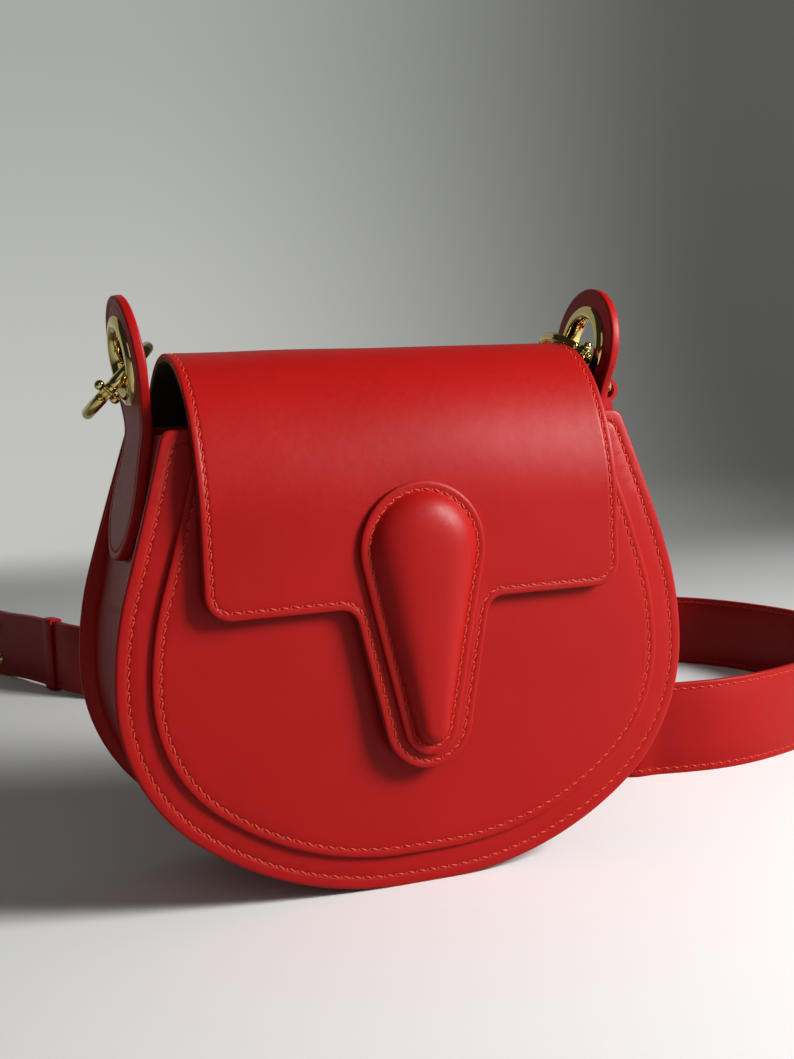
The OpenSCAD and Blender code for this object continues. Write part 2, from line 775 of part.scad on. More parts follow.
module strap_free_loop() {
    color("#b8211b") at_row(strap_rows, last_row, turn_shift/2)
        end_loop(strap_t + turn_t, loop_r + 2*turn_t);
}

keeper_inner = [strap_t + turn_t + 4*play, strap_w + 2*play];

module strap_keeper() {
    color("#b5201a") at_row(strap_rows, keeper_row, turn_shift/2) rotate([90, 0, 90])
        translate([0, 0, -keeper_w/2]) linear_extrude(keeper_w) difference() {
            square([keeper_inner[0] + 2*keeper_t, keeper_inner[1] + 2*keeper_t], center = true);
            square(keeper_inner, center = true);
        }
}

// Two screw studs side by side through both layers at the free end
module strap_screws() {
    reach = strap_t + turn_t + play + 2*screw_h;
    color("#e0bd62") at_row(strap_rows, screw_row, turn_shift/2)
        for (side = [-1, 1]) translate([0, 0, side*strap_w/4]) rotate([90, 0, 0]) union() {
            cylinder(r = screw_r/2, h = reach, center = true);
            for (end = [-1, 1]) translate([0, 0, end*(reach - screw_h)/2])
                cylinder(r = screw_r, h = screw_h, center = true);
        }
}

// One rivet through the narrow end at the ring
module strap_rivets() {
    reach = strap_t + 2*screw_h;
    color("#e0bd62") at_row(strap_rows, 1, 0) rotate([90, 0, 0]) union() {
        cylinder(r = screw_r/2, h = reach, center = true);
        for (end = [-1, 1]) translate([0, 0, end*(reach - screw_h)/2])
            cylinder(r = screw_r, h = screw_h, center = true);
    }
}

// Sets a piece back by what the front stands out more than the back
middle_y = (front_y + drop_border_t + pad_h - rear_y)/2;

module set_back() {
    translate([0, middle_y, 0]) children();
}

set_back() front_panel();
set_back() front_overlay();
set_back() rear_panel();
set_back() gusset();
set_back() front_lining();
set_back() rear_lining();
set_back() gusset_lining();
set_back() inner_pocket();
set_back() mirror([1, 0, 0]) side_tab();  // left_side_tab
set_back() side_tab();  // right_side_tab
set_back() mirror([1, 0, 0]) eyelet();  // left_eyelet
set_back() eyelet();  // right_eyelet
set_back() mirror([1, 0, 0]) eyelet_washer();  // left_eyelet_washer
set_back() eyelet_washer();  // right_eyelet_washer
set_back() left_place() ring_body();  // left_ring
set_back() right_place() ring_body();  // right_ring
set_back() left_place() ring_gate();  // left_ring_gate
set_back() right_place() ring_gate();  // right_ring_gate
set_back() left_place() gate_pin();  // left_gate_pin
set_back() right_place() gate_pin();  // right_gate_pin
set_back() flap_panel();
set_back() flap_lining();
set_back() flap_anchor();
set_back() drop_border();
set_back() drop_cover();
set_back() drop_foam();
set_back() snap_stud();
set_back() snap_stud_washer();
set_back() snap_socket();
set_back() snap_socket_washer();
set_back() strap_band();
set_back() strap_ring_loop();
set_back() strap_free_loop();
set_back() strap_turnback();
set_back() strap_keeper();
set_back() strap_screws();
set_back() strap_rivets();
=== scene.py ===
# %% [markdown]
# # A round saddle handbag in red leather
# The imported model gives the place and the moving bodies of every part. Each leather piece is modelled
# again here as the maker would cut it: a flat shape with a rounded, painted edge and a sewn groove,
# which is then bent to where it sits on the bag.

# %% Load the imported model
from bisect import bisect_left
from itertools import accumulate
from math import acos, asin, atan2, copysign, cos, degrees, dist, hypot, pi, radians, sin, sqrt, tan
import bpy
from mathutils import Matrix, Vector, noise


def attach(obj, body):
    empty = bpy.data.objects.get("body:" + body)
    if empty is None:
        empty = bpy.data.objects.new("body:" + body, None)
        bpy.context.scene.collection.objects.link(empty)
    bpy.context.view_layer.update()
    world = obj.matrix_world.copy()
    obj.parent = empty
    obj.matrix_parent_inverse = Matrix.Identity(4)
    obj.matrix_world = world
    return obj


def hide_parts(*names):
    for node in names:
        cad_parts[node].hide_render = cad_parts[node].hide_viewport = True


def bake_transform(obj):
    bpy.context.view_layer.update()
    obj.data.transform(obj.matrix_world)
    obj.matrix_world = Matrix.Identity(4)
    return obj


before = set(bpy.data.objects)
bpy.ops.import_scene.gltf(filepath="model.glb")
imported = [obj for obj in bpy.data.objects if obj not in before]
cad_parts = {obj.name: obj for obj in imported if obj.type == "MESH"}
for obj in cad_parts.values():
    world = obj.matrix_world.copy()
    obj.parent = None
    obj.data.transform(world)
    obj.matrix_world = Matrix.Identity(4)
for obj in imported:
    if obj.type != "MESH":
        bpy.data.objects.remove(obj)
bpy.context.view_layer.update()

# %% [markdown]
# Sizes are in millimetres, in the drawing's own axes: X across the bag, the front at -Y, Z up from the
# floor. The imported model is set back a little, so one function turns a drawn point into a placed one.

# %% Places in millimetres
MM = 0.001
SET_BACK = 5.85


def place(x, y, z):
    return Vector((x * MM, (y + SET_BACK) * MM, z * MM))


# %% [markdown]
# The camera stands low in front of the bag's left half and looks a little down, as in the photograph.
# It was fitted to the two matching outlines of the front and rear panels.

# %% Camera
YAW, PITCH, ROLL = 21.585, 5.60, -2.24
CAMERA_SPOT = (-184.1, -483.9, 171.7)
bpy.ops.object.camera_add(location=place(*CAMERA_SPOT))
camera = bpy.context.object
level_look = Matrix.Rotation(radians(-YAW), 3, "Z") @ Matrix.Rotation(radians(90 - PITCH), 3, "X")
camera.rotation_euler = (level_look @ Matrix.Rotation(radians(ROLL), 3, "Z")).to_euler()
camera.data.sensor_width = 36
camera.data.lens = 48.5
camera.data.clip_start = 0.01
bpy.context.scene.camera = camera
print("camera at", tuple(round(c, 3) for c in camera.location))

# %% [markdown]
# Every piece starts from a primitive. These helpers clear the selection first, because an operator
# works on all that is selected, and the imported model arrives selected. A grid primitive is the usual
# start: its points are moved to a plate's loops or to a swept section, and its open rims are closed.

# %% Selection and mesh helpers
WELD_MM = 0.001     # for a flat piece, still drawn in millimetres
SEAM_GAP = 1e-7     # in metres, where a swept section meets itself
TIP_GAP = 1e-5      # in metres, where a wire's tip or a disc's middle runs to a point


def only(ob=None):
    bpy.ops.object.select_all(action="DESELECT")
    if ob is not None:
        ob.select_set(True)
        bpy.context.view_layer.objects.active = ob


def in_edit(ob, *steps):
    only(ob)
    bpy.ops.object.mode_set(mode="EDIT")
    bpy.ops.mesh.select_all(action="SELECT")
    for step in steps:
        step()
    bpy.ops.object.mode_set(mode="OBJECT")


def merge(gap):
    """A step that merges the points closer than this."""
    return lambda: bpy.ops.mesh.remove_doubles(threshold=gap)


def fill_openings():
    bpy.ops.mesh.select_all(action="DESELECT")
    bpy.ops.mesh.select_non_manifold()
    bpy.ops.mesh.fill_holes(sides=0)
    bpy.ops.mesh.select_all(action="SELECT")


def outward():
    bpy.ops.mesh.normals_make_consistent(inside=False)


SWEPT = (merge(SEAM_GAP), fill_openings, outward)
TURNED = (merge(TIP_GAP), outward)


def net(name, columns, rows, spot, steps=(), painted=()):
    """A grid primitive whose points are moved to spot(column, row). The painted rows of faces take the
    second material; the steps close the mesh."""
    only()
    bpy.ops.mesh.primitive_grid_add(x_subdivisions=columns, y_subdivisions=rows, size=2)
    ob = bpy.context.object
    ob.name = name
    for v in ob.data.vertices:
        i = round((v.co.x + 1) / 2 * columns)
        j = round((v.co.y + 1) / 2 * rows)
        v.co = spot(i, j)
    for face in ob.data.polygons:
        face.material_index = int(face.index // columns in painted)
    if steps:
        in_edit(ob, *steps)
    return ob


def ball(radius, rings, way):
    """A sphere primitive whose points are moved to way(point)."""
    only()
    bpy.ops.mesh.primitive_uv_sphere_add(segments=32, ring_count=rings, radius=radius)
    ob = bpy.context.object
    for v in ob.data.vertices:
        v.co = place(*way(v.co))
    return ob


def joined(name, parts):
    only(parts[0])
    for part in parts:
        part.select_set(True)
    bpy.ops.object.join()
    bpy.context.object.name = name
    return bpy.context.object


def bend(ob, way):
    """Moves each point (along, out, up) of a flat piece to its drawn place, in the model's metres."""
    for v in ob.data.vertices:
        v.co = place(*way(*v.co))
    in_edit(ob, outward)
    return ob


def cut(ob, normal, values):
    """Cuts the faces along parallel planes, so that a flat piece has points to bend at."""
    def run():
        for value in values:
            bpy.ops.mesh.select_all(action="SELECT")
            bpy.ops.mesh.bisect(plane_co=Vector(normal) * value, plane_no=normal)
    in_edit(ob, run)


def spread(first, last, step):
    n = max(1, round(abs(last - first) / step))
    return [first + (last - first) * k / n for k in range(n + 1)]


# %% [markdown]
# An outline is a list of points. It is walked in equal steps, and set inwards along its own normals,
# which is how a maker's stitch line follows the edge of the leather.

# %% Outline helpers
def on_circle(cx, cz, r, angle):
    return cx + r * cos(radians(angle)), cz + r * sin(radians(angle))


def arc(cx, cz, r, start, end, n):
    return [on_circle(cx, cz, r, start + (end - start) * k / n) for k in range(n + 1)]


def runs_of(points):
    """The distance along a line of points at each of them."""
    return [0.0, *accumulate(map(dist, points, points[1:]))]


def find(runs, want):
    """The stretch that a distance falls in, and the share of it that is walked."""
    k = min(len(runs) - 2, max(0, bisect_left(runs, want) - 1))
    return k, min(1.0, max(0.0, (want - runs[k]) / max(1e-9, runs[k + 1] - runs[k])))


def walk(points, n):
    """n + 1 points at equal distances along a line of points."""
    runs, found = runs_of(points), []
    for step in range(n + 1):
        k, share = find(runs, runs[-1] * step / n)
        found.append(tuple(a + (b - a) * share for a, b in zip(points[k], points[k + 1])))
    return found


def mirrored(half, n):
    """A closed loop of n points from its right half, which starts and ends on the middle line."""
    right_side = walk(half, n // 2)
    return right_side + [(-x, z) for x, z in right_side[-2:0:-1]]


def left_and_right(half):
    """An open line from its right half: down the left side and up the right one."""
    return [(-x, z) for x, z in reversed(half)] + half


def outward_at(a, b):
    """The direction to the right of the way from a to b."""
    dx, dz = b[0] - a[0], b[1] - a[1]
    size = hypot(dx, dz)
    return dz / size, -dx / size


def set_in(loop, inset):
    """The loop moved inwards; it runs anticlockwise."""
    moved = []
    for k, (x, z) in enumerate(loop):
        nx, nz = outward_at(loop[k - 2], loop[(k + 2) % len(loop)])
        moved.append((x - nx * inset, z - nz * inset))
    return moved


# %% [markdown]
# A leather part is a plate: a stack of loops from the back round the edge to the face, each with its
# inset and its height. The rows that make the edge get the edge paint, and the face dips in a groove
# where the thread runs. Both openings are then filled, and planes cut the face for bending.

# %% Plates
ACROSS, UPWARD = (1, 0, 0), (0, 0, 1)
EDGE_ROWS = range(1, 7)
GROOVE_W = 0.5


def plate(name, loops, heights, cuts=(), painted=EDGE_ROWS):
    n = len(loops[0])
    ob = net(name, n, len(loops) - 1, lambda i, j: (loops[j][i % n][0], heights[j], loops[j][i % n][1]),
             (merge(WELD_MM), fill_openings, outward), painted)
    for normal, values in cuts:
        cut(ob, normal, values)
    return ob


def layered(loop_at, steps, base=0):
    """A plate's loops and heights from its (inset, height) steps."""
    return [loop_at(inset) for inset, _ in steps], [base + h for _, h in steps]


def rim(thick):
    """Inset and height of a plate's edge, from its back up to its face."""
    r = min(0.8, thick * 0.4)
    back = [(r * 1.6, -thick), (r * 0.5, -thick + r * 0.12), (r * 0.1, -thick + r * 0.5), (0, -thick + r)]
    front = [(0, -r), (r * 0.1, -r * 0.5), (r * 0.5, -r * 0.12), (r * 1.3, 0.0)]
    return back + front


def groove(inset, deep):
    """A sewn groove in the face at an inset."""
    return [(inset - 2.2 * GROOVE_W, 0.0), (inset - GROOVE_W, -0.35 * deep), (inset, -deep),
            (inset + GROOVE_W, -0.35 * deep), (inset + 2.2 * GROOVE_W, 0.0)]


# %% [markdown]
# ## Leather, thread, metal
# Finished calf leather is dyed and sealed, so it is smooth with a satin gloss, and the pores hardly
# show. Its edges are sanded and painted, which leaves them darker and a little glossier.
# The colours are written as sRGB hex values and turned linear by one function. Every pattern is laid in
# Object coordinates, and its size is given in millimetres.

# %% Colour and node helpers
def hex_colour(code):
    parts = [int(code[k:k + 2], 16) / 255 for k in (1, 3, 5)]
    return tuple(c / 12.92 if c <= 0.04045 else ((c + 0.055) / 1.055) ** 2.4 for c in parts) + (1.0,)


def add(kind, inputs, **settings):
    """A node in the tree of the sockets that it is joined to."""
    tree = next(v.id_data for v in inputs.values() if isinstance(v, bpy.types.NodeSocket))
    node = tree.nodes.new("ShaderNode" + kind)
    for key, value in settings.items():
        setattr(node, key, value)
    for key, value in inputs.items():
        if isinstance(value, bpy.types.NodeSocket):
            tree.links.new(value, node.inputs[key])
        else:
            node.inputs[key].default_value = value
    return node


def feed(node, **sockets):
    """Joins sockets to the inputs of a node."""
    for key, socket in sockets.items():
        node.id_data.links.new(socket, node.inputs[key.replace("_", " ")])


def new_material(name, **values):
    """A material with its shader, the values that are the same all over, and Object coordinates."""
    made = bpy.data.materials.new(name)
    made.use_nodes = True
    nodes = made.node_tree.nodes
    shader = nodes["Principled BSDF"]
    for key, value in values.items():
        shader.inputs[key.replace("_", " ")].default_value = value
    return made, shader, nodes.new("ShaderNodeTexCoord").outputs["Object"]


def blended(share, first, second):
    """The colour socket of a mix of two colours, each a hex code or a socket."""
    first, second = [hex_colour(c) if isinstance(c, str) else c for c in (first, second)]
    return add("Mix", {0: share, 6: first, 7: second}, data_type="RGBA").outputs[2]


def patches(spots, size_mm, detail):
    """Noise whose patches have this size in millimetres."""
    return add("TexNoise", {"Vector": spots, "Scale": 1 / (size_mm * MM), "Detail": detail}).outputs["Fac"]


def ranged(value, low, high, to_low=0.0, to_high=1.0, way="LINEAR"):
    inputs = {"Value": value, "From Min": low, "From Max": high, "To Min": to_low, "To Max": to_high}
    return add("MapRange", inputs, interpolation_type=way).outputs[0]


def relief(height, strength, distance, **under):
    inputs = {"Height": height, "Strength": strength, "Distance": distance, **under}
    return add("Bump", inputs).outputs["Normal"]


# %% Satin red leather
def red_calf(name, main, deep, rough, bumpy=1.0):
    """Red leather between two colours, with this gloss and this much of the grain."""
    made, shader, spots = new_material(name, IOR=1.45, Specular_IOR_Level=0.25)
    # Dye takes unevenly over hand-sized patches, and the gloss varies over small ones.
    dye = ranged(patches(spots, 55, 3.0), 0.3, 0.7)
    gloss = ranged(patches(spots, 2.2, 4.0), 0.3, 0.7, rough - 0.03, rough + 0.04)
    # Pores are 0.5 mm apart on calf; they are drawn at 0.9 mm so that they show at all.
    pores = add("TexVoronoi", {"Vector": spots, "Scale": 1000 / 0.9}, feature="SMOOTH_F1")
    grain = relief(pores.outputs["Distance"], 0.06 * bumpy, 0.0002)
    soft = relief(patches(spots, 14, 2.0), 0.25 * bumpy, 0.0006, Normal=grain)
    feed(shader, Base_Color=blended(dye, deep, main), Roughness=gloss, Normal=soft)
    return made


LEATHER = red_calf("finished calf leather, red", "#b51513", "#ac1210", 0.41)
STRAP_LEATHER = red_calf("strap leather, red", "#ab1210", "#a3100e", 0.42)
EDGE_PAINT = red_calf("edge paint, dark red", "#8c1026", "#800d20", 0.28, 0.4)


# %% Thread, lining, metals
def napped(name, main, deep):
    made, shader, spots = new_material(name, Roughness=0.75, IOR=1.45, Sheen_Weight=0.25, Sheen_Roughness=0.5)
    nap = patches(spots, 1.6, 5.0)
    feed(shader, Base_Color=blended(nap, deep, main), Normal=relief(nap, 0.3, 0.0003))
    return made


def plated(name, colour, rough):
    made, shader, spots = new_material(name, Metallic=1.0, Base_Color=hex_colour(colour))
    gloss = ranged(patches(spots, 9, 4.0), 0.35, 0.75, rough, rough + 0.06)
    orange_peel = relief(patches(spots, 3, 1.0), 0.08, 0.0002)
    feed(shader, Roughness=gloss, Normal=orange_peel)
    return made


THREAD, shader, spots = new_material("waxed polyester thread, coral red", Roughness=0.5, IOR=1.5,
                                     Specular_IOR_Level=0.25)
feed(shader, Base_Color=blended(patches(spots, 0.6, 1.0), "#c42a17", "#dd4427"))
# Painted shade: the slits between stitches are dark red, standing for the shadow in the needle holes.
NEEDLE_HOLE_SHADE = red_calf("needle hole, painted shade", "#5c0709", "#4c0608", 0.6, 0.3)
# Painted light: the raw edge's tan is made paler to stand for light falling on it.
LIGHTENED_RAW_EDGE = napped("raw leather edge, pale tan, lightened as painted light", "#eec89a", "#e2b885")
# Painted shade: the suede is darkened to dark wine to stand for the shade inside the flap and the bag.
SHADED_LINING = napped("suede lining, dark wine, darkened as painted shade", "#46191a", "#381214")
GOLD = plated("gold plating, polished", "#ecd68c", 0.06)
NICKEL = plated("nickel plating", "#b5b3ad", 0.2)
FOAM = napped("soft foam, cream", "#e6dcc4", "#d9cdb2")
CALF, STRAP_CALF = (LEATHER, EDGE_PAINT), (STRAP_LEATHER, EDGE_PAINT)
print("materials:", len(bpy.data.materials))


# %% [markdown]
# A finished piece gets its materials, smooth shading that keeps its crisp edges, the body that it
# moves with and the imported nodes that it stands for.

# %% Finish and ride
def dress(ob, nodes=(), materials=CALF, body="bag", angle=40, bends=None):
    ob.data.materials.clear()
    for material in materials:
        ob.data.materials.append(material)
    only(ob)
    bpy.ops.object.shade_smooth_by_angle(angle=radians(angle))
    if bends:
        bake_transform(ob)
    else:
        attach(ob, body)
    if nodes:
        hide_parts(*nodes)
    return ob


def gild(ob, node, body="bag"):
    return dress(ob, [node], [GOLD], body)


# %% [markdown]
# ## Stitches
# Saddle stitching shows as short slanting dashes with a pinch of leather between them. One stitch is a
# stretched sphere; every seam repeats it along a stitch line, leaned a little, with its ends sunk. A
# small dark slit between two stitches is painted shade: its dark red stands for the shadow in the needle's hole.

# %% One stitch, and seams made of it
STITCH_LONG, STITCH_THICK, STITCH_SUNK = 3.0, 0.82, 0.16
HOLE_LONG, HOLE_WIDE, HOLE_HIGH = 1.25, 0.62, 0.12
only()
bpy.ops.mesh.primitive_uv_sphere_add(segments=8, ring_count=6, radius=1)
stitch_model = bpy.context.object
bpy.ops.transform.rotate(value=pi / 2, orient_axis="Y", center_override=(0, 0, 0))
bpy.ops.object.transform_apply(rotation=True)
STITCH_POINTS = [v.co.copy() for v in stitch_model.data.vertices]
STITCH_FACES = [tuple(f.vertices) for f in stitch_model.data.polygons]
bpy.data.objects.remove(stitch_model)


def seam(name, line, way, height, body="bag", pitch=4.0, lean=18, bends=None):
    """Stitches along a flat line, laid on the surface that way() bends it to."""
    count = round(runs_of(line)[-1] / pitch)
    spots = walk(line, count * 2)
    points, faces = [], []

    def bead(middle, run, out, long, thick, high, sink):
        start, side = len(points), out.cross(run)
        for p in STITCH_POINTS:
            flat = copysign(abs(p.x) ** 0.8, p.x)
            spot = middle + run * (flat * long / 2) + side * (p.y * thick / 2)
            points.append(place(*(spot + out * (p.z * high - sink * p.x * p.x))))
        faces.extend(tuple(start + f for f in face) for face in STITCH_FACES)

    for k in range(count):
        (ax, az), (mx, mz), (bx, bz) = spots[2 * k:2 * k + 3]
        size = hypot(bx - ax, bz - az)
        tx, tz = (bx - ax) / size, (bz - az) / size
        middle = Vector(way(mx, height, mz))
        along = (Vector(way(mx + tx, height, mz + tz)) - Vector(way(mx - tx, height, mz - tz))).normalized()
        out = (Vector(way(mx, height + 1, mz)) - middle).normalized()
        across = along.cross(out)
        turn = radians(lean + 3 * sin(k * 2.7))     # by hand, no two lean quite alike
        run = along * cos(turn) + across * sin(turn)
        bead(middle, run, out, STITCH_LONG, STITCH_THICK, STITCH_THICK * 0.42, STITCH_SUNK)
        # The slit's dark colour is painted shade for the needle's hole.
        hole = Vector(way(ax, height, az)) + out * 0.02
        slit = along * cos(turn * 2.6) - across * sin(turn * 2.6)
        bead(hole, slit, out, HOLE_LONG, HOLE_WIDE, HOLE_HIGH, 0)
    mesh = bpy.data.meshes.new(name)
    mesh.from_pydata(points, [], faces)
    ob = bpy.data.objects.new(name, mesh)
    bpy.context.scene.collection.objects.link(ob)
    for face in mesh.polygons:
        face.material_index = face.index // len(STITCH_FACES) % 2
    return dress(ob, materials=(THREAD, NEEDLE_HOLE_SHADE), body=body, angle=60, bends=bends)


print("faces of one stitch:", len(STITCH_FACES))

# %% [markdown]
# ## Strap
# The strap is two layers of leather, 40 mm wide and 2.8 mm thick, sewn near both edges. It hangs from
# the right ring, falls behind the bag, rolls over on to its edge and runs round in an open loop. Its
# length is the length of the line below; it is swept with a section that has the layers' joint in its
# edges and a stitch groove beside each of them. A row of the table is a point of the middle line, the
# direction of the width there, and the width.

# %% Strap route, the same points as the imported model's
def unit(v):
    return Vector(v).normalized()


RING_TILT = radians(45)
RING_R, WIRE_R, END_W, STRAP_W, STRAP_T, TURN_T = 15.2, 2.0, 14.0, 40.0, 2.8, 1.6
RING_C = Vector((89.5074, 12, 178.568))
HEAD_C = Vector((88.1074, 0, 185.068))
ROW_STEPS, ROUTE_STEPS = 12, 6
ring_low = Vector((cos(RING_TILT), 0, -sin(RING_TILT)))
ring_sag = RING_R - sqrt(RING_R ** 2 - (END_W / 2) ** 2)
hang_seat = RING_C + ring_low * (RING_R - ring_sag / 2)
hang_way = unit((0.15, 0, -1))
rows = [[*(hang_seat + hang_way * run), 0, -1, 0, wide] for run, wide in ((8, END_W), (16, END_W), (24, 20))]
rows += [[107.5, 17, 133, 0, -1, 0, 34], [112, 27, 118, -0.15, -1, 0, 40], [117, 40, 101, -0.4, -1, 0, 40],
         [119, 54, 84, -0.8, -0.9, 0, 40], [116, 62, 69, -1, -0.5, 0, 40], [111, 65, 55, -1, -0.15, 0, 40]]
# Behind the bag it rolls half round, from hanging to lying on edge.
ROLL_AXIS, ROLL_LOW, ROLL_START, ROLL_R = unit((1, 0, -1)), unit((-1, 0, -1)), Vector((108, 55, 42.2)), 10
for k in range(6):
    a = pi * k / 5
    roll_face = Vector((0, cos(a), 0)) + ROLL_LOW * sin(a)
    roll_way = unit(ROLL_AXIS - Vector((0, sin(a), 0)) + ROLL_LOW * cos(a))
    rows.append([*(ROLL_START + (ROLL_AXIS * a + roll_face) * ROLL_R), *roll_face.cross(roll_way), STRAP_W])
for x, y, z in [(142, 43.5, 20), (155, 40.5, 20), (169, 38.5, 20), (184, 39, 20), (201, 42.5, 20), (220, 49, 20),
                (241, 58, 20), (263, 71, 20), (284, 90, 20), (300, 115, 20), (309, 145, 20), (311, 175, 20),
                (307, 204, 20), (299, 230, 20), (286, 252, 20), (260, 279, 20), (224, 308, 20), (180, 334, 20),
                (130, 348, 20), (80, 347, 20), (30, 334, 20), (-12, 323, 20), (-42, 331, 21), (-57, 352, 22),
                (-66, 380, 22), (-75, 408, 22), (-84, 436, 21), (-92, 462, 20)]:
    rows.append([x, y, z, 0, 0, 1, STRAP_W])
rows += [[-98, 484, 20, 0, 0, 1, 26], [-102, 500, 20, 0, 0, 1, 14]]


def strap_frames():
    """Middle, way, width direction, face direction and width along a smooth curve through the rows."""
    found = []
    for i in range(len(rows) - 1):
        near = rows[max(i - 1, 0)], rows[i], rows[i + 1], rows[min(i + 2, len(rows) - 1)]
        for k in range(ROW_STEPS):
            s = k / ROW_STEPS
            found.append([0.5 * (2 * b + s * (c - a) + s * s * (2 * a - 5 * b + 4 * c - d)
                                 + s ** 3 * (3 * b - a - 3 * c + d)) for a, b, c, d in zip(*near)])
    found.append(rows[-1])
    places, frames = [Vector(r[:3]) for r in found], []
    for i, r in enumerate(found):
        t = unit(places[min(i + 1, len(found) - 1)] - places[max(i - 1, 0)])
        w = Vector(r[3:6])
        w = unit(w - t * w.dot(t))
        frames.append((places[i], t, w, t.cross(w), r[6]))
    return frames


FINE = strap_frames()
LAST = len(FINE) - 1
strap_runs = [0.0]
for (p, *_), (q, *_) in zip(FINE, FINE[1:]):
    strap_runs.append(strap_runs[-1] + (q - p).length)
STRAP_LONG = strap_runs[-1]
print("strap length, mm:", round(STRAP_LONG, 1))

# %% Strap band
STRAP_LINE = 2.6
SECTION_EDGES = (*range(10, 16), *range(26, 32))


def band_section(half, thick):
    """Half widths and heights round the band, with a joint in both edges and four stitch grooves."""
    t, line = thick / 2, half - STRAP_LINE
    side = [(half - 0.7, t), (line + 0.9, t), (line, t - 0.28), (line - 0.9, t), (half * 0.4, t)]
    face = side + [(0, t)] + [(-w, h) for w, h in reversed(side)]
    edge = [(-half + 0.2, t - 0.22), (-half, t - 0.75), (-half + 0.12, 0), (-half, -t + 0.75),
            (-half + 0.2, -t + 0.22)]
    return face + edge + [(w, -h) for w, h in reversed(face)] + [(-w, -h) for w, h in edge]


def strap_spot(at, across, out):
    """A point of the strap: distance along it, across it and out of its face."""
    k, share = find(strap_runs, at)
    (p, _, w, f, _), (q, _, w2, f2, _) = FINE[k], FINE[k + 1]
    middle = p.lerp(q, share)
    return middle + w.lerp(w2, share).normalized() * across + f.lerp(f2, share).normalized() * out


def sweep_band(name, frames, thick, shift=0):
    count = len(band_section(STRAP_W / 2, thick))
    def spot(i, j):
        p, t, w, f, wide = frames[i]
        a, b = band_section(max(wide, 8) / 2, thick)[j % count]
        return place(*(p + w * a + f * (b + shift)))
    return net(name, len(frames) - 1, count, spot, SWEPT, SECTION_EDGES)


band = sweep_band("strap_band_leather", FINE, STRAP_T)
dress(band, ["strap_band"], STRAP_CALF)
print("strap band faces:", len(band.data.polygons))

# %% [markdown]
# The free end is doubled back on its inner side and held by two screw studs and a keeper. It closes in
# a turned loop that a ring's wire can lie in. The other end is riveted round the right ring.

# %% Strap ends, keeper and studs
TURN_FROM, KEEPER_FROM, STUDS_FROM, RIVET_AT = 78, 60, 30, 6
LOOP_R, STUD_R, STUD_DOME = 3.2, 3.6, 0.42
DOUBLE_T = STRAP_T + TURN_T
turn_shift = -DOUBLE_T / 2 - 0.1
turnback = sweep_band("strap_turnback_leather", FINE[LAST - TURN_FROM:], TURN_T, turn_shift)
dress(turnback, ["strap_turnback"], STRAP_CALF)


def strap_piece(name, spot_of, columns, count, index, shift):
    """A swept piece drawn in the strap's own directions at one of its rows."""
    p, t, w, f, _ = FINE[index]
    def spot(i, j):
        a, b, c = spot_of(i, j)
        return place(*(p + f * shift + t * a + w * b + f * c))
    return net(name, columns, count, spot, SWEPT)


def end_loop(name, index, shift, gap, thick, sign, node):
    """A turned end: a leg that meets the strap, round a bore for the ring's wire."""
    outside = LOOP_R + TURN_T
    open_half = degrees(asin(thick / 2 / outside))
    ring = [on_circle(gap, 0, outside, a) for a in spread(180 - open_half, -180 + open_half, 12)]
    outline = [(0, thick / 2)] + ring + [(0, -thick / 2)]
    n = len(outline)
    bore = [on_circle(gap, 0, LOOP_R, a) for a in spread(180, -180, 360 / (n - 1))][:n]
    def spot_of(i, j):
        a, c = (outline, outline, bore, bore)[j % 4][i % n]
        return a * sign, (-END_W / 2, END_W / 2, END_W / 2, -END_W / 2)[j % 4], c
    return dress(strap_piece(name, spot_of, n, 4, index, shift), [node], [STRAP_LEATHER])


ring_loop = end_loop("strap_ring_loop_leather", 0, 0, 8.0, STRAP_T, -1, "strap_ring_loop")
free_loop = end_loop("strap_free_loop_leather", LAST, turn_shift / 2, 6.4, DOUBLE_T, 1, "strap_free_loop")
keeper_h, keeper_w, KEEPER_R = DOUBLE_T + 0.8, STRAP_W + 0.4, 0.3


def keeper_spot(i, j):
    """A flat band bent round both layers: i goes round, j goes along it, out and back inside."""
    quarter, share = divmod(i % 32, 8)
    turn = radians(quarter * 90 + share * 90 / 7)
    along, out = [(-5.5, 0.0), (-5.5, 1.1), (-5.0, 1.4), (5.0, 1.4), (5.5, 1.1), (5.5, 0.0)][j % 6]
    r = KEEPER_R + out
    b = (1, -1, -1, 1)[quarter] * (keeper_w / 2 - KEEPER_R) + r * cos(turn)
    c = (1, 1, -1, -1)[quarter] * (keeper_h / 2 - KEEPER_R) + r * sin(turn)
    return along, b, c


keeper = strap_piece("strap_keeper_leather", keeper_spot, 32, 6, LAST - KEEPER_FROM, turn_shift / 2)
dress(keeper, ["strap_keeper"], [STRAP_LEATHER])


def studs(name, index, shift, sides, reach, node):
    """Screw studs with low domed heads on both sides of the leather."""
    p, t, w, f, _ = FINE[index]
    def way(v):
        high = reach / 2 - 1.4 + max(v.z, 0) * STUD_DOME
        return p + f * shift + t * v.x + w * (v.y + side) + f * (end * high)
    parts = []
    for side in sides:
        for end in (-1, 1):
            parts.append(ball(STUD_R, 16, way))
    ob = joined(name, parts)
    in_edit(ob, outward)
    return gild(ob, node)


screws = studs("strap_screw_studs", LAST - STUDS_FROM, turn_shift / 2, (-10, 10), DOUBLE_T + 3, "strap_screws")
rivets = studs("strap_ring_rivet", RIVET_AT, 0, (0,), STRAP_T + 2.8, "strap_rivets")
print("strap ends done")

# %% [markdown]
# The stitches are laid out flat, by the distance along the strap and across it, and then bent to it.

# %% Strap stitching and cord
def strap_way(side):
    return lambda a, h, b: strap_spot(a, b, side * h)


def strap_line(first, last, across):
    """A stitch line along the strap, as distance along and distance across."""
    line = []
    for at in spread(first, last, 6):
        k = min(range(len(FINE)), key=lambda m: abs(strap_runs[m] - at))
        line.append((at, across * (FINE[k][4] / 2 - STRAP_LINE)))
    return line


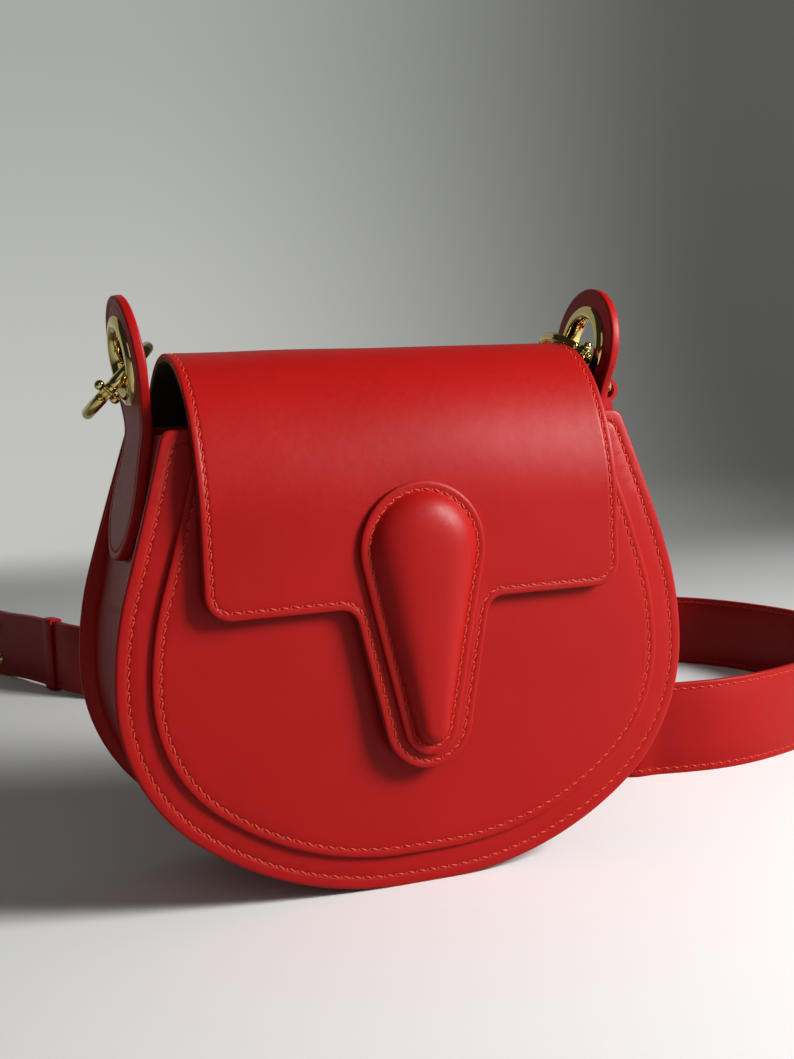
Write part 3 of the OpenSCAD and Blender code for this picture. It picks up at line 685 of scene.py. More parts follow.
for across, low in ((-1, "low"), (1, "high")):
    for side, face in ((-1, "in"), (1, "out")):
        seam(f"strap_stitches_{low}_{face}", strap_line(14, STRAP_LONG - 6, across),
                                strap_way(side), STRAP_T / 2 - 0.05, pitch=4.2, lean=16 * side)

# %% [markdown]
# ## Body outline
# The front and the back are cut to one outline: a short flat foot, a wide bottom arc, tight lower
# corners, bulging sides and straight upper sides. Near the top both lean inwards a little.

# %% Body outline
BODY_W, PANEL_H, DEPTH, PANEL_T = 210.0, 161.5, 70.0, 2.6
FOOT, WIDE_Z, CORNER_R, SIDE_R, SIDE_A, RIM_R = 8.0, 76.0, 65.0, 121.0, 17.3, 4.0
LEAN_FROM, LEAN_BY = 116, 4.5
corner_x = BODY_W / 2 - CORNER_R
bottom_r = ((corner_x - FOOT) ** 2 + WIDE_Z ** 2 - CORNER_R ** 2) / (2 * (WIDE_Z - CORNER_R))
bottom_a = degrees(atan2(WIDE_Z - bottom_r, corner_x - FOOT))


def half_outline(inset, top, lean=SIDE_A):
    a = radians(lean)
    reach = (BODY_W / 2 - SIDE_R) * cos(a) + WIDE_Z * sin(a) + SIDE_R - inset
    rim_z = top - RIM_R
    rim_x = (reach - RIM_R - rim_z * sin(a)) / cos(a)
    return (arc(FOOT, bottom_r, bottom_r - inset, -90, bottom_a, 24)
            + arc(corner_x, WIDE_Z, CORNER_R - inset, bottom_a, 0, 48)
            + arc(BODY_W / 2 - SIDE_R, WIDE_Z, SIDE_R - inset, 0, lean, 16)
            + arc(rim_x, rim_z, RIM_R, lean, 90, 8))


def body_loop(inset, n, top=None):
    top = PANEL_H - inset if top is None else top
    half = half_outline(inset, top)
    return mirrored([(0, half[0][1])] + half + [(0, top)], n)


def lean_in(z):
    """How far the panels have come in at a height; the bend is eased."""
    share = max(0.0, z - LEAN_FROM) / (PANEL_H - LEAN_FROM)
    return LEAN_BY * share * share * (1.6 - 0.6 * share)


def slack(x, z, size, seed):
    """Slow unevenness of real leather, in millimetres."""
    return size * noise.noise(Vector((x / 38, z / 38, seed)))


print("body outline, mm:", BODY_W, "x", PANEL_H)

# %% [markdown]
# ## Front, raised front layer and back
# The back panel and the front panel are sewn to the gusset 4.2 mm from their edge. The raised layer
# lies on the front inside that seam, with a thread line of its own.

# %% Front and back panels
BORDER_LINE = 4.2


def panel(name, side, seed, node):
    steps = rim(PANEL_T) + groove(BORDER_LINE, 0.42) + [(9.0, 0.0), (14.0, 0.0)]
    ob = plate(name, *layered(lambda inset: body_loop(inset, 560), steps),
               [(ACROSS, spread(-96, 96, 8)), (UPWARD, spread(6, 156, 5))])
    def way(x, h, z):
        y = DEPTH / 2 - lean_in(z) + h + slack(x, z, 0.35, seed) * min(1, abs(h + PANEL_T))
        return x, side * y, z
    dress(bend(ob, way), [node])
    return way


front_way = panel("front_panel_leather", -1, 3.1, "front_panel")
back_way = panel("rear_panel_leather", 1, 7.7, "rear_panel")
# The line stops short of the rounded top corners and runs straight out at the top.
border_half = half_outline(BORDER_LINE, PANEL_H - BORDER_LINE)[:-6]
border_u = left_and_right(border_half + [(border_half[-1][0] - 1.4, PANEL_H - 1.5)])
seam("front_border_stitches", border_u, front_way, -0.25)
seam("rear_border_stitches", border_u, back_way, -0.25)

# %% Raised front layer
OVER_T, OVER_IN, OVER_LINE = 1.7, 11.5, 2.9
steps = rim(OVER_T) + groove(OVER_LINE, 0.36) + [(7.0, 0.0), (12.0, 0.0)]
raised = plate("front_overlay_leather",
               *layered(lambda inset: body_loop(OVER_IN + inset, 520, PANEL_H - OVER_IN - inset), steps),
               [(ACROSS, spread(-88, 88, 8)), (UPWARD, spread(16, 148, 4))])


def raised_way(x, h, z):
    soft = slack(x, z, 0.5, 11.3) if h > -OVER_T + 0.5 else 0
    return x, -(DEPTH / 2 + OVER_T - lean_in(z) + h + soft), z


dress(bend(raised, raised_way), ["front_overlay"])
over_half = half_outline(OVER_IN + OVER_LINE, PANEL_H - OVER_IN - OVER_LINE)
seam("front_overlay_stitches", left_and_right(over_half), raised_way, -0.2)
print("panels done")

# %% [markdown]
# ## Gusset
# One strip goes up the left side, along the bottom and up the right side. Its edges turn outwards under
# the panels' borders, where the border thread goes through both.

# %% Gusset
GUSSET_IN, GUSSET_T, GUSSET_A, GUSSET_STEPS = 5.0, 2.0, 13.0, 260
LIP = 4.3
gusset_top = PANEL_H - 1.5
INNER_HALF_D = DEPTH / 2 - PANEL_T


def u_frames(inset, top, n):
    """Points of the strip's line, each with its outward direction."""
    half = half_outline(inset, top + RIM_R, GUSSET_A)[:-9]
    last_x, last_z = half[-1]
    end = (last_x - (top - last_z) * tan(radians(GUSSET_A)), top)
    line = walk(left_and_right(half + [end]), n)
    return [(*p, *outward_at(line[max(0, k - 1)], line[min(n, k + 1)])) for k, p in enumerate(line)]


half_front = [(4.0, 32.25), (4.3, 31.9), (4.3, 31.3), (4.0, 30.9), (3.0, 30.75), (2.0, 30.6), (1.2, 30.3),
              (0.6, 29.7), (0.25, 28.8), (0.1, 27.4), (0, 24), (-0.3, 18), (-0.5, 10)]
outer = [(n, -y) for n, y in half_front] + [(-0.55, 0)] + half_front[::-1]
inner = [(-2.0, 32.25), (-2.3, 20), (-2.5, 10), (-2.55, 0), (-2.5, -10), (-2.3, -20), (-2.0, -32.25)]
gusset_section = outer + inner
gusset_frames = u_frames(GUSSET_IN, gusset_top, GUSSET_STEPS)


def lip_share(x, z):
    """The gusset is steeper than the panels' sides, so its lips get narrower towards the top."""
    a = radians(SIDE_A)
    if z < WIDE_Z + SIDE_R * sin(a):
        return 1.0
    edge_x = BODY_W / 2 - SIDE_R + (WIDE_Z * sin(a) + SIDE_R - z * sin(a)) / cos(a)
    return min(1.0, max(0.05, (edge_x - abs(x) - 0.5) / LIP))


def gusset_spot(i, j):
    x, z, nx, nz = gusset_frames[i]
    n, y = gusset_section[j % len(gusset_section)]
    if n > 0:
        n *= lip_share(x, z)
    elif n > -2 and z >= 100:
        n *= 0.3
    y *= (INNER_HALF_D - lean_in(z)) / INNER_HALF_D
    n += 0.12 * noise.noise(Vector((i / 9, y / 14, 5.5))) if abs(y) < 29 else 0
    return place(x + nx * n, y, z + nz * n)


lip_rows = (0, 1, 2, len(outer) - 4, len(outer) - 3, len(outer) - 2)
gusset = net("gusset_leather", GUSSET_STEPS, len(gusset_section), gusset_spot, SWEPT, lip_rows)
dress(gusset, ["gusset"])
print("gusset faces:", len(gusset.data.polygons))

# %% [markdown]
# ## Side tabs
# Each tab is a thick plate of two layers with a round head, a waist and a round lobe. The lobe is sewn
# on the gusset's end and the head leans out above the bag's mouth, with the eyelet in its middle.

# %% Side tabs
HEAD_R, LOBE_R, WAIST_R, TAB_T, TAB_LINE, HOLE_R = 22.0, 20.0, 34.5, 3.5, 2.8, 10.9
TAB_LEAN = radians(7.5)
TAB_BEND = (83.2659, 161.7)
head_z, tab_pitch = HEAD_C.z, 48.0
lobe_z = head_z - tab_pitch
a_len, b_len = HEAD_R + WAIST_R, LOBE_R + WAIST_R
waist_up = (tab_pitch ** 2 + b_len ** 2 - a_len ** 2) / (2 * tab_pitch)
waist_out = sqrt(b_len ** 2 - waist_up ** 2)
head_turn = degrees(atan2(lobe_z + waist_up - head_z, waist_out))
lobe_turn = degrees(atan2(waist_up, waist_out))
tab_half = (arc(0, lobe_z, LOBE_R, -90, lobe_turn, 40)
            + arc(waist_out, lobe_z + waist_up, WAIST_R, 180 + lobe_turn, 180 + head_turn, 24)[1:]
            + arc(0, head_z, HEAD_R, head_turn, 90, 60)[1:])


def tab_side(z):
    """X of the tab's inner face at a height, and its slope; the bend is eased."""
    low, high = -tan(radians(GUSSET_A)), tan(TAB_LEAN)
    d = z - TAB_BEND[1]
    root = sqrt(d * d + 16)
    x = TAB_BEND[0] + (high + low) / 2 * d + (high - low) / 2 * root
    return x, (high + low) / 2 + (high - low) / 2 * d / root


def tab_way(side):
    def way(y, h, z):
        x, slope = tab_side(z)
        size = sqrt(1 + slope * slope)
        return side * (x + (h + TAB_T) / size), y, z - slope * (h + TAB_T) / size
    return way


tab_loop = mirrored(tab_half, 320)
tab_steps = rim(TAB_T) + groove(TAB_LINE, 0.3) + [(5.0, 0.0)]
# Only the lobe is sewn: down its left side and up its right one.
lobe_line = [p for p in set_in(tab_loop, TAB_LINE) if p[1] < head_z - 30]
tab_seam = [p for p in lobe_line if p[0] < 0] + [p for p in lobe_line if p[0] >= 0]
for side, hand in ((-1, "left"), (1, "right")):
    tab = plate(f"{hand}_side_tab_leather", *layered(lambda inset: set_in(tab_loop, inset), tab_steps),
                [(UPWARD, spread(120, 204, 3))])
    only()
    bpy.ops.mesh.primitive_cylinder_add(vertices=64, radius=HOLE_R, depth=20, location=(0, 0, head_z),
                                        rotation=(pi / 2, 0, 0))
    cutter = bpy.context.object
    only(tab)
    hole = tab.modifiers.new("eyelet hole", "BOOLEAN")
    hole.object, hole.operation, hole.solver = cutter, "DIFFERENCE", "EXACT"
    bpy.ops.object.modifier_apply(modifier=hole.name)
    bpy.data.objects.remove(cutter)
    dress(bend(tab, tab_way(side)), [f"{hand}_side_tab"])
    seam(f"{hand}_tab_stitches", tab_seam, tab_way(side), -0.2, lean=18 * side)
print("tab faces:", len(tab.data.polygons))

# %% [markdown]
# ## Eyelets
# A pressed brass eyelet comes in two halves: the outer half with the tube and a domed flange, and the
# washer half that its rim is rolled over. Both are turned shapes, so their sections are swept round.

# %% Eyelets
EYE_R, FLANGE_R, DOME = 10.0, 15.5, 1.8
TOP_R, UNDER_H = EYE_R + (FLANGE_R - EYE_R) * 0.46, TAB_T / 2 - 0.05
# Radius and height round one half: up the tube, over the dome and back under the flange.
eyelet = [(TOP_R - (TOP_R - EYE_R) * cos(t), (TAB_T / 2 + DOME) * sin(t))
          for t in map(radians, spread(0, 90, 6))]
eyelet += [(TOP_R + (FLANGE_R - TOP_R) * sin(t), TAB_T / 2 + DOME * cos(t))
           for t in map(radians, spread(0, 90, 9)[1:])]
eyelet += [(FLANGE_R - 0.15, UNDER_H), (EYE_R + 1.0, UNDER_H), (EYE_R + 0.9, 0)]


def lathe(name, section, centre, axis, steps=96, closed=True):
    """A section of (radius, height) swept round an axis."""
    axis = unit(axis)
    across = unit(axis.cross(Vector((0, 1, 0))))
    other = axis.cross(across)
    def spot(i, j):
        r, h = section[j % len(section)]
        t = 2 * pi * (i % steps) / steps
        return place(*(Vector(centre) + across * r * cos(t) + other * r * sin(t) + axis * h))
    return net(name, steps, len(section) if closed else len(section) - 1, spot, TURNED)


for side, hand in ((-1, "left"), (1, "right")):
    centre = (side * HEAD_C.x, 0, HEAD_C.z)
    out_axis = Vector((side * cos(TAB_LEAN), 0, -sin(TAB_LEAN)))
    gild(lathe(f"{hand}_eyelet_outer_half", eyelet, centre, out_axis), f"{hand}_eyelet")
    gild(lathe(f"{hand}_eyelet_washer_half", eyelet, centre, -out_axis), f"{hand}_eyelet_washer")
print("eyelets done")

# %% [markdown]
# ## Rings with spring gates
# A ring is round wire with a quarter of it cut out for the gate. The gate turns on a pin between two
# cheeks, and the pin's ends are small balls that stand on the cheeks.

# %% Ring parts
RING_WIRE_R, KNUCKLE_R, GATE_A, BALL_R = 2.2, 2.5, 90.0, 1.75
TILT_AND_PIN = {"left": (-7, -62), "right": (0, -114)}
WIRE_SIDES = 24
# Degrees round the ring from its pin: the ring's wire leaves a gap, which the gate's arm closes.
WIRE_ENDS, FORK_ENDS, ARM_ENDS, STUB_ENDS = (GATE_A + 1.2, 351), (347, 356.5), (8.6, GATE_A - 0.4), (2.0, 12.0)
CHEEK_OUT, CHEEK_T, TANG_T, STUB_R = 1.42, 1.15, 1.5, 0.75
TIP_NUDGES, TIP_SIZES = [0.0, 0.12, 0.35, 0.8], [0.0, 0.55, 0.8, 0.93]
PIN_SEAT = [(0.7, 2.0), (1.5, 2.05), (1.2, 2.5), (1.1, 3.4), (0.001, 3.5)]


def flipped(v):
    return Vector((-v.x, v.y, v.z))


def ring_frame(hand):
    """Centre and axes of the ring's drawing: towards the pin, towards the gate, and along its pin."""
    tilt, turn = map(radians, TILT_AND_PIN[hand])
    c, s = cos(RING_TILT), sin(RING_TILT)
    outwards, level, steep = Vector((c, 0, -s)), Vector((0, 1, 0)), Vector((s, 0, c))
    backwards = level * cos(tilt) + steep * sin(tilt)
    normal = steep * cos(tilt) - level * sin(tilt)
    to_pin = outwards * cos(turn) + backwards * sin(turn)
    to_gate = backwards * cos(turn) - outwards * sin(turn)
    if hand == "left":
        return [flipped(v) for v in (RING_C, to_pin, to_gate, normal)]
    return RING_C, to_pin, -to_gate, -normal


def wire(name, axes, ends, radius, steps):
    """Round wire along an arc of the ring, with ends that are rounded off."""
    (start, end), (centre, ex, ey, ez) = ends, axes
    head = [start + degrees(d / RING_R) for d in TIP_NUDGES]
    tail = [end - degrees(d / RING_R) for d in reversed(TIP_NUDGES)]
    turns = head + [t for t in spread(start, end, (end - start) / steps) if head[-1] < t < tail[0]] + tail
    sizes = TIP_SIZES + [1.0] * (len(turns) - 8) + TIP_SIZES[::-1]
    def spot(i, j):
        a, t = radians(turns[i]), 2 * pi * (j % WIRE_SIDES) / WIRE_SIDES
        out = ex * cos(a) + ey * sin(a)
        r = max(radius * sizes[i], 0.001)
        return place(*(centre + out * (RING_R + r * cos(t)) + ez * r * sin(t)))
    return net(name, len(turns) - 1, WIRE_SIDES, spot, TURNED)


def spun(name, axes, middle, half, steps=32):
    """A turned piece on the pin's line, alike on both sides; its half section runs out to the middle."""
    centre, ex, _, ez = axes
    section = [(r, -h) for r, h in reversed(half)] + half
    return lathe(name, section, centre + ex * RING_R + ez * middle, ez, steps, closed=False)


def disc(name, axes, middle, radius, thick):
    b = min(0.3, thick * 0.2)
    return spun(name, axes, middle, [(radius, thick / 2 - b), (radius - b, thick / 2), (0.001, thick / 2)])


for hand in ("left", "right"):
    axes = ring_frame(hand)
    centre, ex, _, ez = axes
    body = wire(f"{hand}_ring_wire", axes, WIRE_ENDS, RING_WIRE_R, 88)
    cheeks = [disc(f"{hand}_cheek_{k}", axes, k * CHEEK_OUT, KNUCKLE_R, CHEEK_T) for k in (-1, 1)]
    fork = wire(f"{hand}_ring_fork", axes, FORK_ENDS, RING_WIRE_R * 0.99, 6)
    gild(joined(f"{hand}_ring_metal", [body] + cheeks + [fork]), f"{hand}_ring", f"{hand}_ring_body")
    arm = wire(f"{hand}_gate_wire", axes, ARM_ENDS, RING_WIRE_R * 0.97, 44)
    tang = disc(f"{hand}_gate_tang", axes, 0, KNUCKLE_R * 0.98, TANG_T)
    stub = wire(f"{hand}_gate_stub", axes, STUB_ENDS, STUB_R, 6)
    gild(joined(f"{hand}_gate_metal", [arm, tang, stub]), f"{hand}_ring_gate", f"{hand}_gate")
    balls = []
    for end in (-1, 1):
        spot = centre + ex * RING_R + ez * end * (WIRE_R + BALL_R * 0.8)
        balls.append(ball(BALL_R, 20, lambda v: spot + v))
    pin = spun(f"{hand}_pin_shaft", axes, 0, PIN_SEAT, 24)
    gild(joined(f"{hand}_gate_pin_metal", balls + [pin]), f"{hand}_gate_pin", f"{hand}_ring_body")
print("hardware done")

# %% [markdown]
# ## Flap
# The flap is one piece of leather: sewn flat on the back, over the bag's mouth in an arch, and down the
# front to a tongue. It is cut flat, edge and stitch groove included, and then bent along the arch.

# %% Flap section
FLAP_T, LINING_T = 1.6, 1.0
FRONT_Y, REAR_Y, CREST_Z = 41.3, 37.6, 187.0
ARCH_FRONT_Z, ARCH_REAR_Z, ANCHOR_Z = 130.0, 140.0, 112.0
LOW_Z, TIP_Z, FLAP_W = 99.3, 42.4, 152.0
SPARE, SECTION_N = 20.0, 1600      # the section runs on a little at both ends


def quarter_arch(y, foot_z, start, end):
    turns = [radians(a) for a in spread(start, end, 1.5)[1:]]
    return [(y * cos(t), foot_z + (CREST_Z - foot_z) * sin(t)) for t in turns]


section_line = ([(REAR_Y, ANCHOR_Z - SPARE), (REAR_Y, ARCH_REAR_Z)] + quarter_arch(REAR_Y, ARCH_REAR_Z, 0, 90)
                + quarter_arch(FRONT_Y, ARCH_FRONT_Z, 90, 180) + [(-FRONT_Y, TIP_Z - SPARE)])
section_fine = walk(section_line, SECTION_N)
SECTION_STEP = runs_of(section_line)[-1] / SECTION_N


def arch_at(s):
    """Place and outward direction on the flap's section at a distance from the anchor's lower edge."""
    k = min(SECTION_N - 1, max(0, (s + SPARE) / SECTION_STEP))
    i = min(SECTION_N - 2, int(k))
    (ay, az), (by, bz) = section_fine[i], section_fine[i + 1]
    share, out = k - i, outward_at(section_fine[max(0, i - 3)], section_fine[min(SECTION_N, i + 4)])
    return ay + (by - ay) * share, az + (bz - az) * share, *out


straight_from = next(k for k, (y, z) in enumerate(section_fine) if y <= -FRONT_Y + 0.001)
front_start = straight_from * SECTION_STEP - SPARE
front_z = arch_at(front_start)[1]


def down_to(z):
    """Distance along the flap at which its front has this height."""
    if z <= front_z:
        return front_start + front_z - z
    best = min((abs(section_fine[k][1] - z), k) for k in range(SECTION_N) if section_fine[k][0] < 0)
    return best[1] * SECTION_STEP - SPARE


def stand_off(x, z):
    """The front of the flap hangs free: its tongue and corners stand a little off the bag."""
    tip = max(0.0, (100 - z) / 58) ** 1.3 * 1.6
    corner = max(0.0, (abs(x) - 45) / 32) * max(0.0, (118 - z) / 20) * 0.5
    return tip + corner


def flap_way(x, h, s):
    y, z, ny, nz = arch_at(s)
    crown = stand_off(x, z) + slack(x, s, 0.35, 21.0) if y < 0 else 0
    return x, y + ny * (h + crown), z + nz * (h + crown)


print("flap's front hangs straight below", round(front_z, 1), "mm")

# %% Flap outline
TONGUE_R, TONGUE_W, FILLET, FLAP_CORNER, FLAP_LINE = 16.0, 50.0, 6.0, 9.0, 2.7
tip_c = (0, TIP_Z + TONGUE_R)
reach = hypot(TONGUE_W / 2, LOW_Z - tip_c[1])
tongue_a = degrees(atan2(LOW_Z - tip_c[1], TONGUE_W / 2) - acos(TONGUE_R / reach))
side_at = on_circle(*tip_c, TONGUE_R, tongue_a)
rise = unit((TONGUE_W / 2 - side_at[0], LOW_Z - side_at[1], 0))
fillet_turn = (90 + degrees(atan2(rise.x, rise.y))) / 2
fillet_run = FILLET * tan(radians(90 - fillet_turn))
fillet_c = (TONGUE_W / 2 + fillet_run, LOW_Z - FILLET)
corner_at = FLAP_W / 2 - FLAP_CORNER
front_half = (arc(*tip_c, TONGUE_R, -90, tongue_a, 24) + arc(*fillet_c, FILLET, 180 + tongue_a, 90, 12)
              + arc(corner_at, LOW_Z + FLAP_CORNER, FLAP_CORNER, -90, 0, 16))
flap_half = [(x, -down_to(z)) for x, z in front_half]
flap_half += arc(corner_at, -FLAP_CORNER, FLAP_CORNER, 0, 90, 16)
flap_half = [(0, flap_half[0][1])] + flap_half + [(0, 0)]
flap_loop = mirrored(flap_half, 1000)
flap_long = -flap_half[0][1]
print("flap, flat size in mm:", FLAP_W, "x", round(flap_long, 1))

# %% [markdown]
# The flap opens on the leather's own fold behind the crest. Its leather, lining and thread are passed the
# two points of the hinge, but here they only have their placing baked in and ride on no body.

# %% Flap, its lining and its thread
HINGE = ((0, 0.0405, 0.158), (0, 0.02677, 0.16075))


def flap_bend(x, h, b):
    return flap_way(x, h, -b)


def flap_plate(name, top, thick, inset0, sewn=()):
    steps = rim(thick) + [*sewn] + [(6.0, 0.0)]
    ob = plate(name, *layered(lambda inset: set_in(flap_loop, inset0 + inset), steps, top),
               [(UPWARD, spread(-flap_long + 4, -4, 2.5)), (ACROSS, spread(-72, 72, 8))])
    return bend(ob, flap_bend)


flap = flap_plate("flap_leather", 0, FLAP_T, 0, groove(FLAP_LINE, 0.36))
dress(flap, ["flap_panel", "flap_anchor"], body="flap", bends=HINGE)
flap_lining = flap_plate("flap_lining_pigskin", -FLAP_T, LINING_T, 0.1)
dress(flap_lining, ["flap_lining"], (SHADED_LINING, LIGHTENED_RAW_EDGE), "flap", bends=HINGE)
flap_line = set_in(flap_loop, FLAP_LINE)
seam("flap_stitches", flap_line + flap_line[:1], flap_bend, -0.2, "flap", bends=HINGE)
print("flap faces:", len(flap.data.polygons))

# %% [markdown]
# ## Padded drop
# A drop of leather over foam is sewn on the flap. Its border lies flat, its middle rises steeply beside
# the thread and is nearly level on top. It is moulded, not blown up, so it is shaped from given loops that
# follow the outline, set in and raised.

# %% Padded drop
DROP_R, DROP_TIP_R, DROP_Z, DROP_TIP_Z, DROP_LINE = 22.8, 10.0, 118.0, 57.5, 2.9
BORDER_T, PAD_H, PAD_FOOT_H, NARROW_LOSS = 2.0, 6.3, 1.75, 0.28
drop_a = degrees(asin((DROP_R - DROP_TIP_R) / (DROP_Z - DROP_TIP_Z)))
drop_half = arc(0, DROP_TIP_Z, DROP_TIP_R, -90, -drop_a, 24) + arc(0, DROP_Z, DROP_R, -drop_a, 90, 48)
drop_loop = mirrored(drop_half, 260)
border_steps = [(0.5, 0.02), (0.1, 0.1), (0, 0.5), (0, 1.4), (0.12, 1.75), (0.5, 1.95), (1.2, BORDER_T),
                (2.0, 1.98), (2.45, 1.88), (2.9, 1.66), (3.35, 1.72)]


def drop_way(x, h, z):
    """Above the flap's straight front, the drop follows the arch by its own length."""
    return flap_way(x, h, down_to(z) if z <= front_z else front_start - (z - front_z))


def spine_z(x, z):
    """Height of the point on the drop's middle line that a point of its outline faces."""
    return min(DROP_Z, max(DROP_TIP_Z, z + abs(x) * tan(radians(drop_a))))


def towards_spine(loop, share):
    return [(x * (1 - share), z + (spine_z(x, z) - z) * share) for x, z in loop]


def pad_way(x, h, z):
    """The pad is lower where the drop is narrower."""
    if h > BORDER_T:
        narrow = 1 - (spine_z(x, z) - DROP_TIP_Z) / (DROP_Z - DROP_TIP_Z)
        h = BORDER_T + (h - BORDER_T) * (1 - NARROW_LOSS * narrow)
    return drop_way(x, h, z)


drop_loops, drop_heights = layered(lambda inset: set_in(drop_loop, inset), border_steps)
pad_foot = set_in(drop_loop, 3.6)
pad_shares = (0.012, 0.035, 0.07, 0.115, 0.17, 0.235, 0.31, 0.4, 0.5, 0.62, 0.76, 0.9, 0.98)
pad_heights = [PAD_FOOT_H + PAD_H * (1 - (1 - share) ** 3.3) ** 0.8 for share in pad_shares]
drop = plate("padded_drop_leather", drop_loops + [towards_spine(pad_foot, share) for share in pad_shares],
             drop_heights + pad_heights, [(UPWARD, spread(52, 138, 3))], range(1, 5))
dress(bend(drop, pad_way), ["drop_border", "drop_cover"], body="flap")

# The foam under it has the same shape, a leather's thickness lower.
foam_loops = [towards_spine(pad_foot, share) for share in (0.06,) + pad_shares[3:]]
foam_heights = [0.1] + [h - 1.5 for h in pad_heights[3:]]
foam = plate("drop_foam_block", foam_loops, foam_heights, [(UPWARD, spread(60, 136, 4))], ())
dress(bend(foam, pad_way), ["drop_foam"], [FOAM], "flap")
drop_line = set_in(drop_loop, DROP_LINE)
seam("drop_stitches", drop_line + drop_line[:1], drop_way, 1.76, "flap", pitch=3.7)
print("drop faces:", len(drop.data.polygons))

# %% [markdown]
# ## Linings and inner pocket
# The inside is lined with thin pigskin suede, whose cut edges stay raw and tan. The suede's dark wine
# is partly painted shade, darkened for the shade inside the flap and the bag, and the tan of the edges
# is partly painted light, made paler. A flat pocket is sewn on the back lining.

# %% Linings
LINER_T, LINER_TOP, LINER_HALF_D, SIDE_LINER_N = 1.0, PANEL_H - 5.75, 30.6, 200
liner_in = GUSSET_IN + GUSSET_T + LINER_T + 0.2
liner_steps = rim(LINER_T) + groove(2.0, 0.2) + [(6.0, 0.0)]
for side, hand in ((-1, "front"), (1, "rear")):
    liner = plate(f"{hand}_lining_pigskin",
                  *layered(lambda inset: body_loop(liner_in + inset, 360, LINER_TOP - inset), liner_steps),
                  [(UPWARD, spread(18, 150, 6))])
    bend(liner, lambda x, h, z: (x, side * (DEPTH / 2 - PANEL_T - lean_in(z) - LINER_T - h - 0.05), z))
    dress(liner, [f"{hand}_lining"], (SHADED_LINING, LIGHTENED_RAW_EDGE))

side_frames = u_frames(GUSSET_IN + GUSSET_T + 0.65, LINER_TOP, SIDE_LINER_N)
side_section = [(n, k * LINER_HALF_D) for n, k in ((0, -1), (0, 0), (0, 1), (-1, 1), (-1, 0), (-1, -1))]


def side_liner_spot(i, j):
    x, z, nx, nz = side_frames[i]
    n, y = side_section[j % len(side_section)]
    y *= (INNER_HALF_D - lean_in(z)) / INNER_HALF_D
    return place(x + nx * n, y, z + nz * n)


side_liner = net("gusset_lining_pigskin", SIDE_LINER_N, len(side_section), side_liner_spot, SWEPT)
dress(side_liner, ["gusset_lining"], [SHADED_LINING])
print("linings done")

# %% Inner pocket
POCKET_AT, POCKET_SIZE = (0, 28.4, 87), (0.110, 0.0058, 0.066)
POCKET_WALL, POCKET_DEEP = 0.0009, 0.0645
only()
bpy.ops.mesh.primitive_cube_add(size=1, location=place(*POCKET_AT), scale=POCKET_SIZE)
pocket = bpy.context.object
pocket.name = "inner_pocket_pigskin"
bpy.ops.object.transform_apply(location=True, scale=True)
bpy.ops.object.mode_set(mode="EDIT")
bpy.ops.mesh.select_mode(type="FACE")
bpy.ops.mesh.select_all(action="DESELECT")
bpy.ops.object.mode_set(mode="OBJECT")
for face in pocket.data.polygons:
    face.select = face.normal.z > 0.9
bpy.ops.object.mode_set(mode="EDIT")
bpy.ops.mesh.inset(thickness=POCKET_WALL)
bpy.ops.mesh.extrude_region_move(TRANSFORM_OT_translate={"value": (0, 0, -POCKET_DEEP)})
bpy.ops.object.mode_set(mode="OBJECT")
soften = pocket.modifiers.new("soft edges", "BEVEL")
soften.width, soften.segments = 0.0004, 2
bpy.ops.object.modifier_apply(modifier=soften.name)
dress(pocket, ["inner_pocket"], [SHADED_LINING])
print("pocket faces:", len(pocket.data.polygons))

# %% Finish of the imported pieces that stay
for node in ("snap_stud", "snap_stud_washer", "snap_socket", "snap_socket_washer"):
    for place_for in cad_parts[node].material_slots:
        place_for.material = NICKEL

# %% [markdown]
# ## Studio
# White paper lies under the bag and ends behind it, and a darker room shows beyond. The key lamp is a
# soft box near the bag on its right and a little in front, so right-hand slopes shine, left-hand ones
# fall dark and the tongue throws its shadow to the left. A weak lamp in front and the room fill the rest.

# %% Floor and backdrop
FLOOR_END, CURVE_END, CURVE_R, BACK_H = 1.6, 2.1, 0.5, 2.5


def sweep_spot(i, j):
    """Six metres wide: a level floor, a quarter turn and an upright back."""
    x, run = -3.0 + 6.0 * i / 24, j / 40
    if run < 0.6:
        return Vector((x, -2.0 + 3.6 * run / 0.6, 0))
    turn = (run - 0.6) / 0.2
    if turn < 1:
        a = turn * pi / 2
        return Vector((x, FLOOR_END + CURVE_R * sin(a), CURVE_R - CURVE_R * cos(a)))
    return Vector((x, CURVE_END, CURVE_R + BACK_H * (turn - 1)))


floor = net("studio_floor", 24, 40, sweep_spot)
only(floor)
bpy.ops.object.shade_smooth()
paper, shader, spots = new_material("studio paper, white", Roughness=0.9)
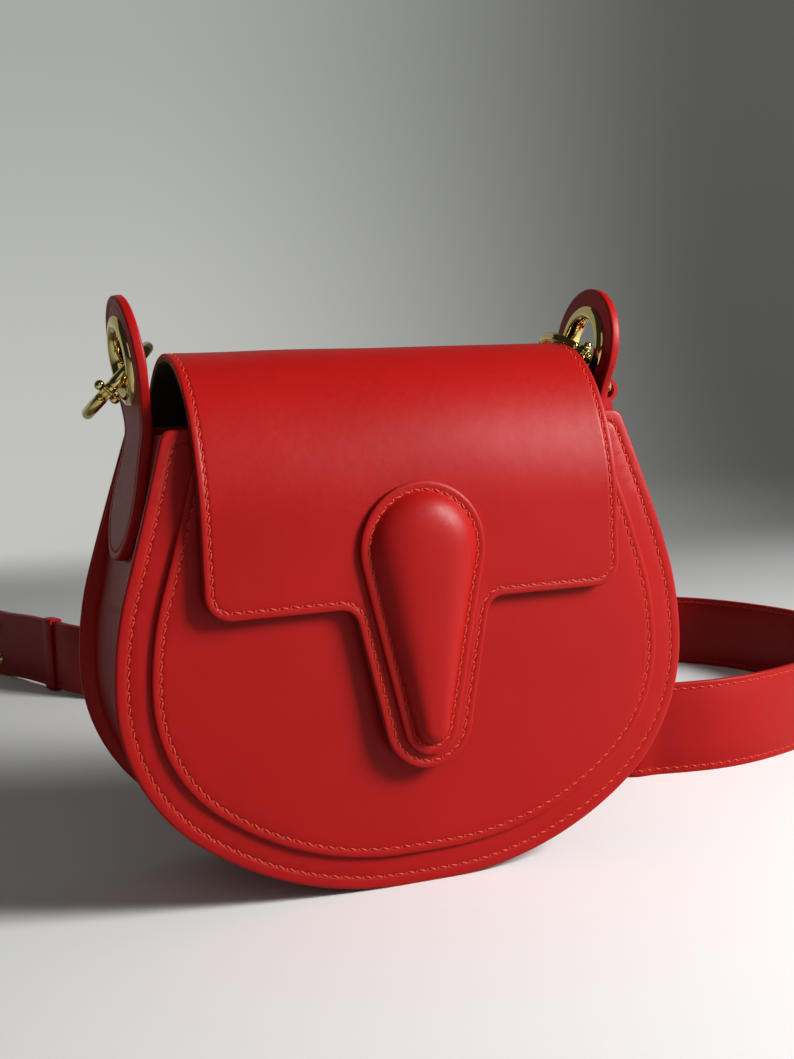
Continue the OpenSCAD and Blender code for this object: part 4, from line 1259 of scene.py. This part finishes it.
# White to the eye and in the polished metal, but grey to the light that it throws back, so the bag's
# lower front stays deep.
rays = paper.node_tree.nodes.new("ShaderNodeLightPath").outputs
seen = add("Math", {0: rays["Is Glossy Ray"], 1: 0.6, 2: rays["Is Camera Ray"]}, operation="MULTIPLY_ADD").outputs[0]
feed(shader, Base_Color=blended(seen, "#9a9a98", "#fcfcfb"))


def eased(way, low, high):
    """From 0 to 1 between two distances over the paper in one direction."""
    run = add("VectorMath", {0: spots, 1: way}, operation="DOT_PRODUCT").outputs["Value"]
    return ranged(run, low, high, way="SMOOTHSTEP")


# The paper meets the darker room along an oblique line, which is out of focus.
beyond = eased((0.3, 0.85, 0), 0.68, 1.08)
sideways = eased((0.93, -0.368, 0), -0.5, 0.74)
high = eased((0, 0, 1), 0.0, 0.9)
# Painted light: the room beyond is a glowing surface, light grey on the left and dark grey on the right, and its
# glow also lights the bag a little.
grey = blended(high, blended(sideways, "#c2c3be", "#525350"), blended(sideways, "#a7a9a4", "#575854"))
glow = add("Emission", {"Color": grey, "Strength": ranged(seen, 0.0, 1.0, 0.3, 1.0)})
either = add("MixShader", {0: beyond, 1: shader.outputs[0], 2: glow.outputs[0]})
feed(paper.node_tree.nodes["Material Output"], Surface=either.outputs[0])
floor.data.materials.append(paper)

# %% Lamps and room
def soft_box(name, spot, aim, side, watts):
    bpy.ops.object.light_add(type="AREA", location=spot)
    lamp = bpy.context.object
    lamp.name = name
    lamp.data.shape = "RECTANGLE"
    lamp.data.size = lamp.data.size_y = side
    lamp.data.energy = watts
    lamp.rotation_euler = (Vector(aim) - Vector(spot)).to_track_quat("-Z", "Y").to_euler()


soft_box("key_box", (0.75, -0.57, 0.57), (0, 0, 0.09), 0.36, 16)
soft_box("front_fill", (-0.3, -1.3, 0.7), (0, 0, 0.1), 0.9, 1.1)
world = bpy.data.worlds.new("pale room")
bpy.context.scene.world = world
world.use_nodes = True
room = world.node_tree.nodes["Background"]
room.inputs["Color"].default_value = hex_colour("#d5d6d4")
# Mirrored in the metal, the room behind the camera is dark.
mirrored_ray = world.node_tree.nodes.new("ShaderNodeLightPath").outputs["Is Glossy Ray"]
feed(room, Strength=ranged(mirrored_ray, 0.0, 1.0, 0.11, 0.03))
bpy.context.scene.view_settings.view_transform = "Standard"
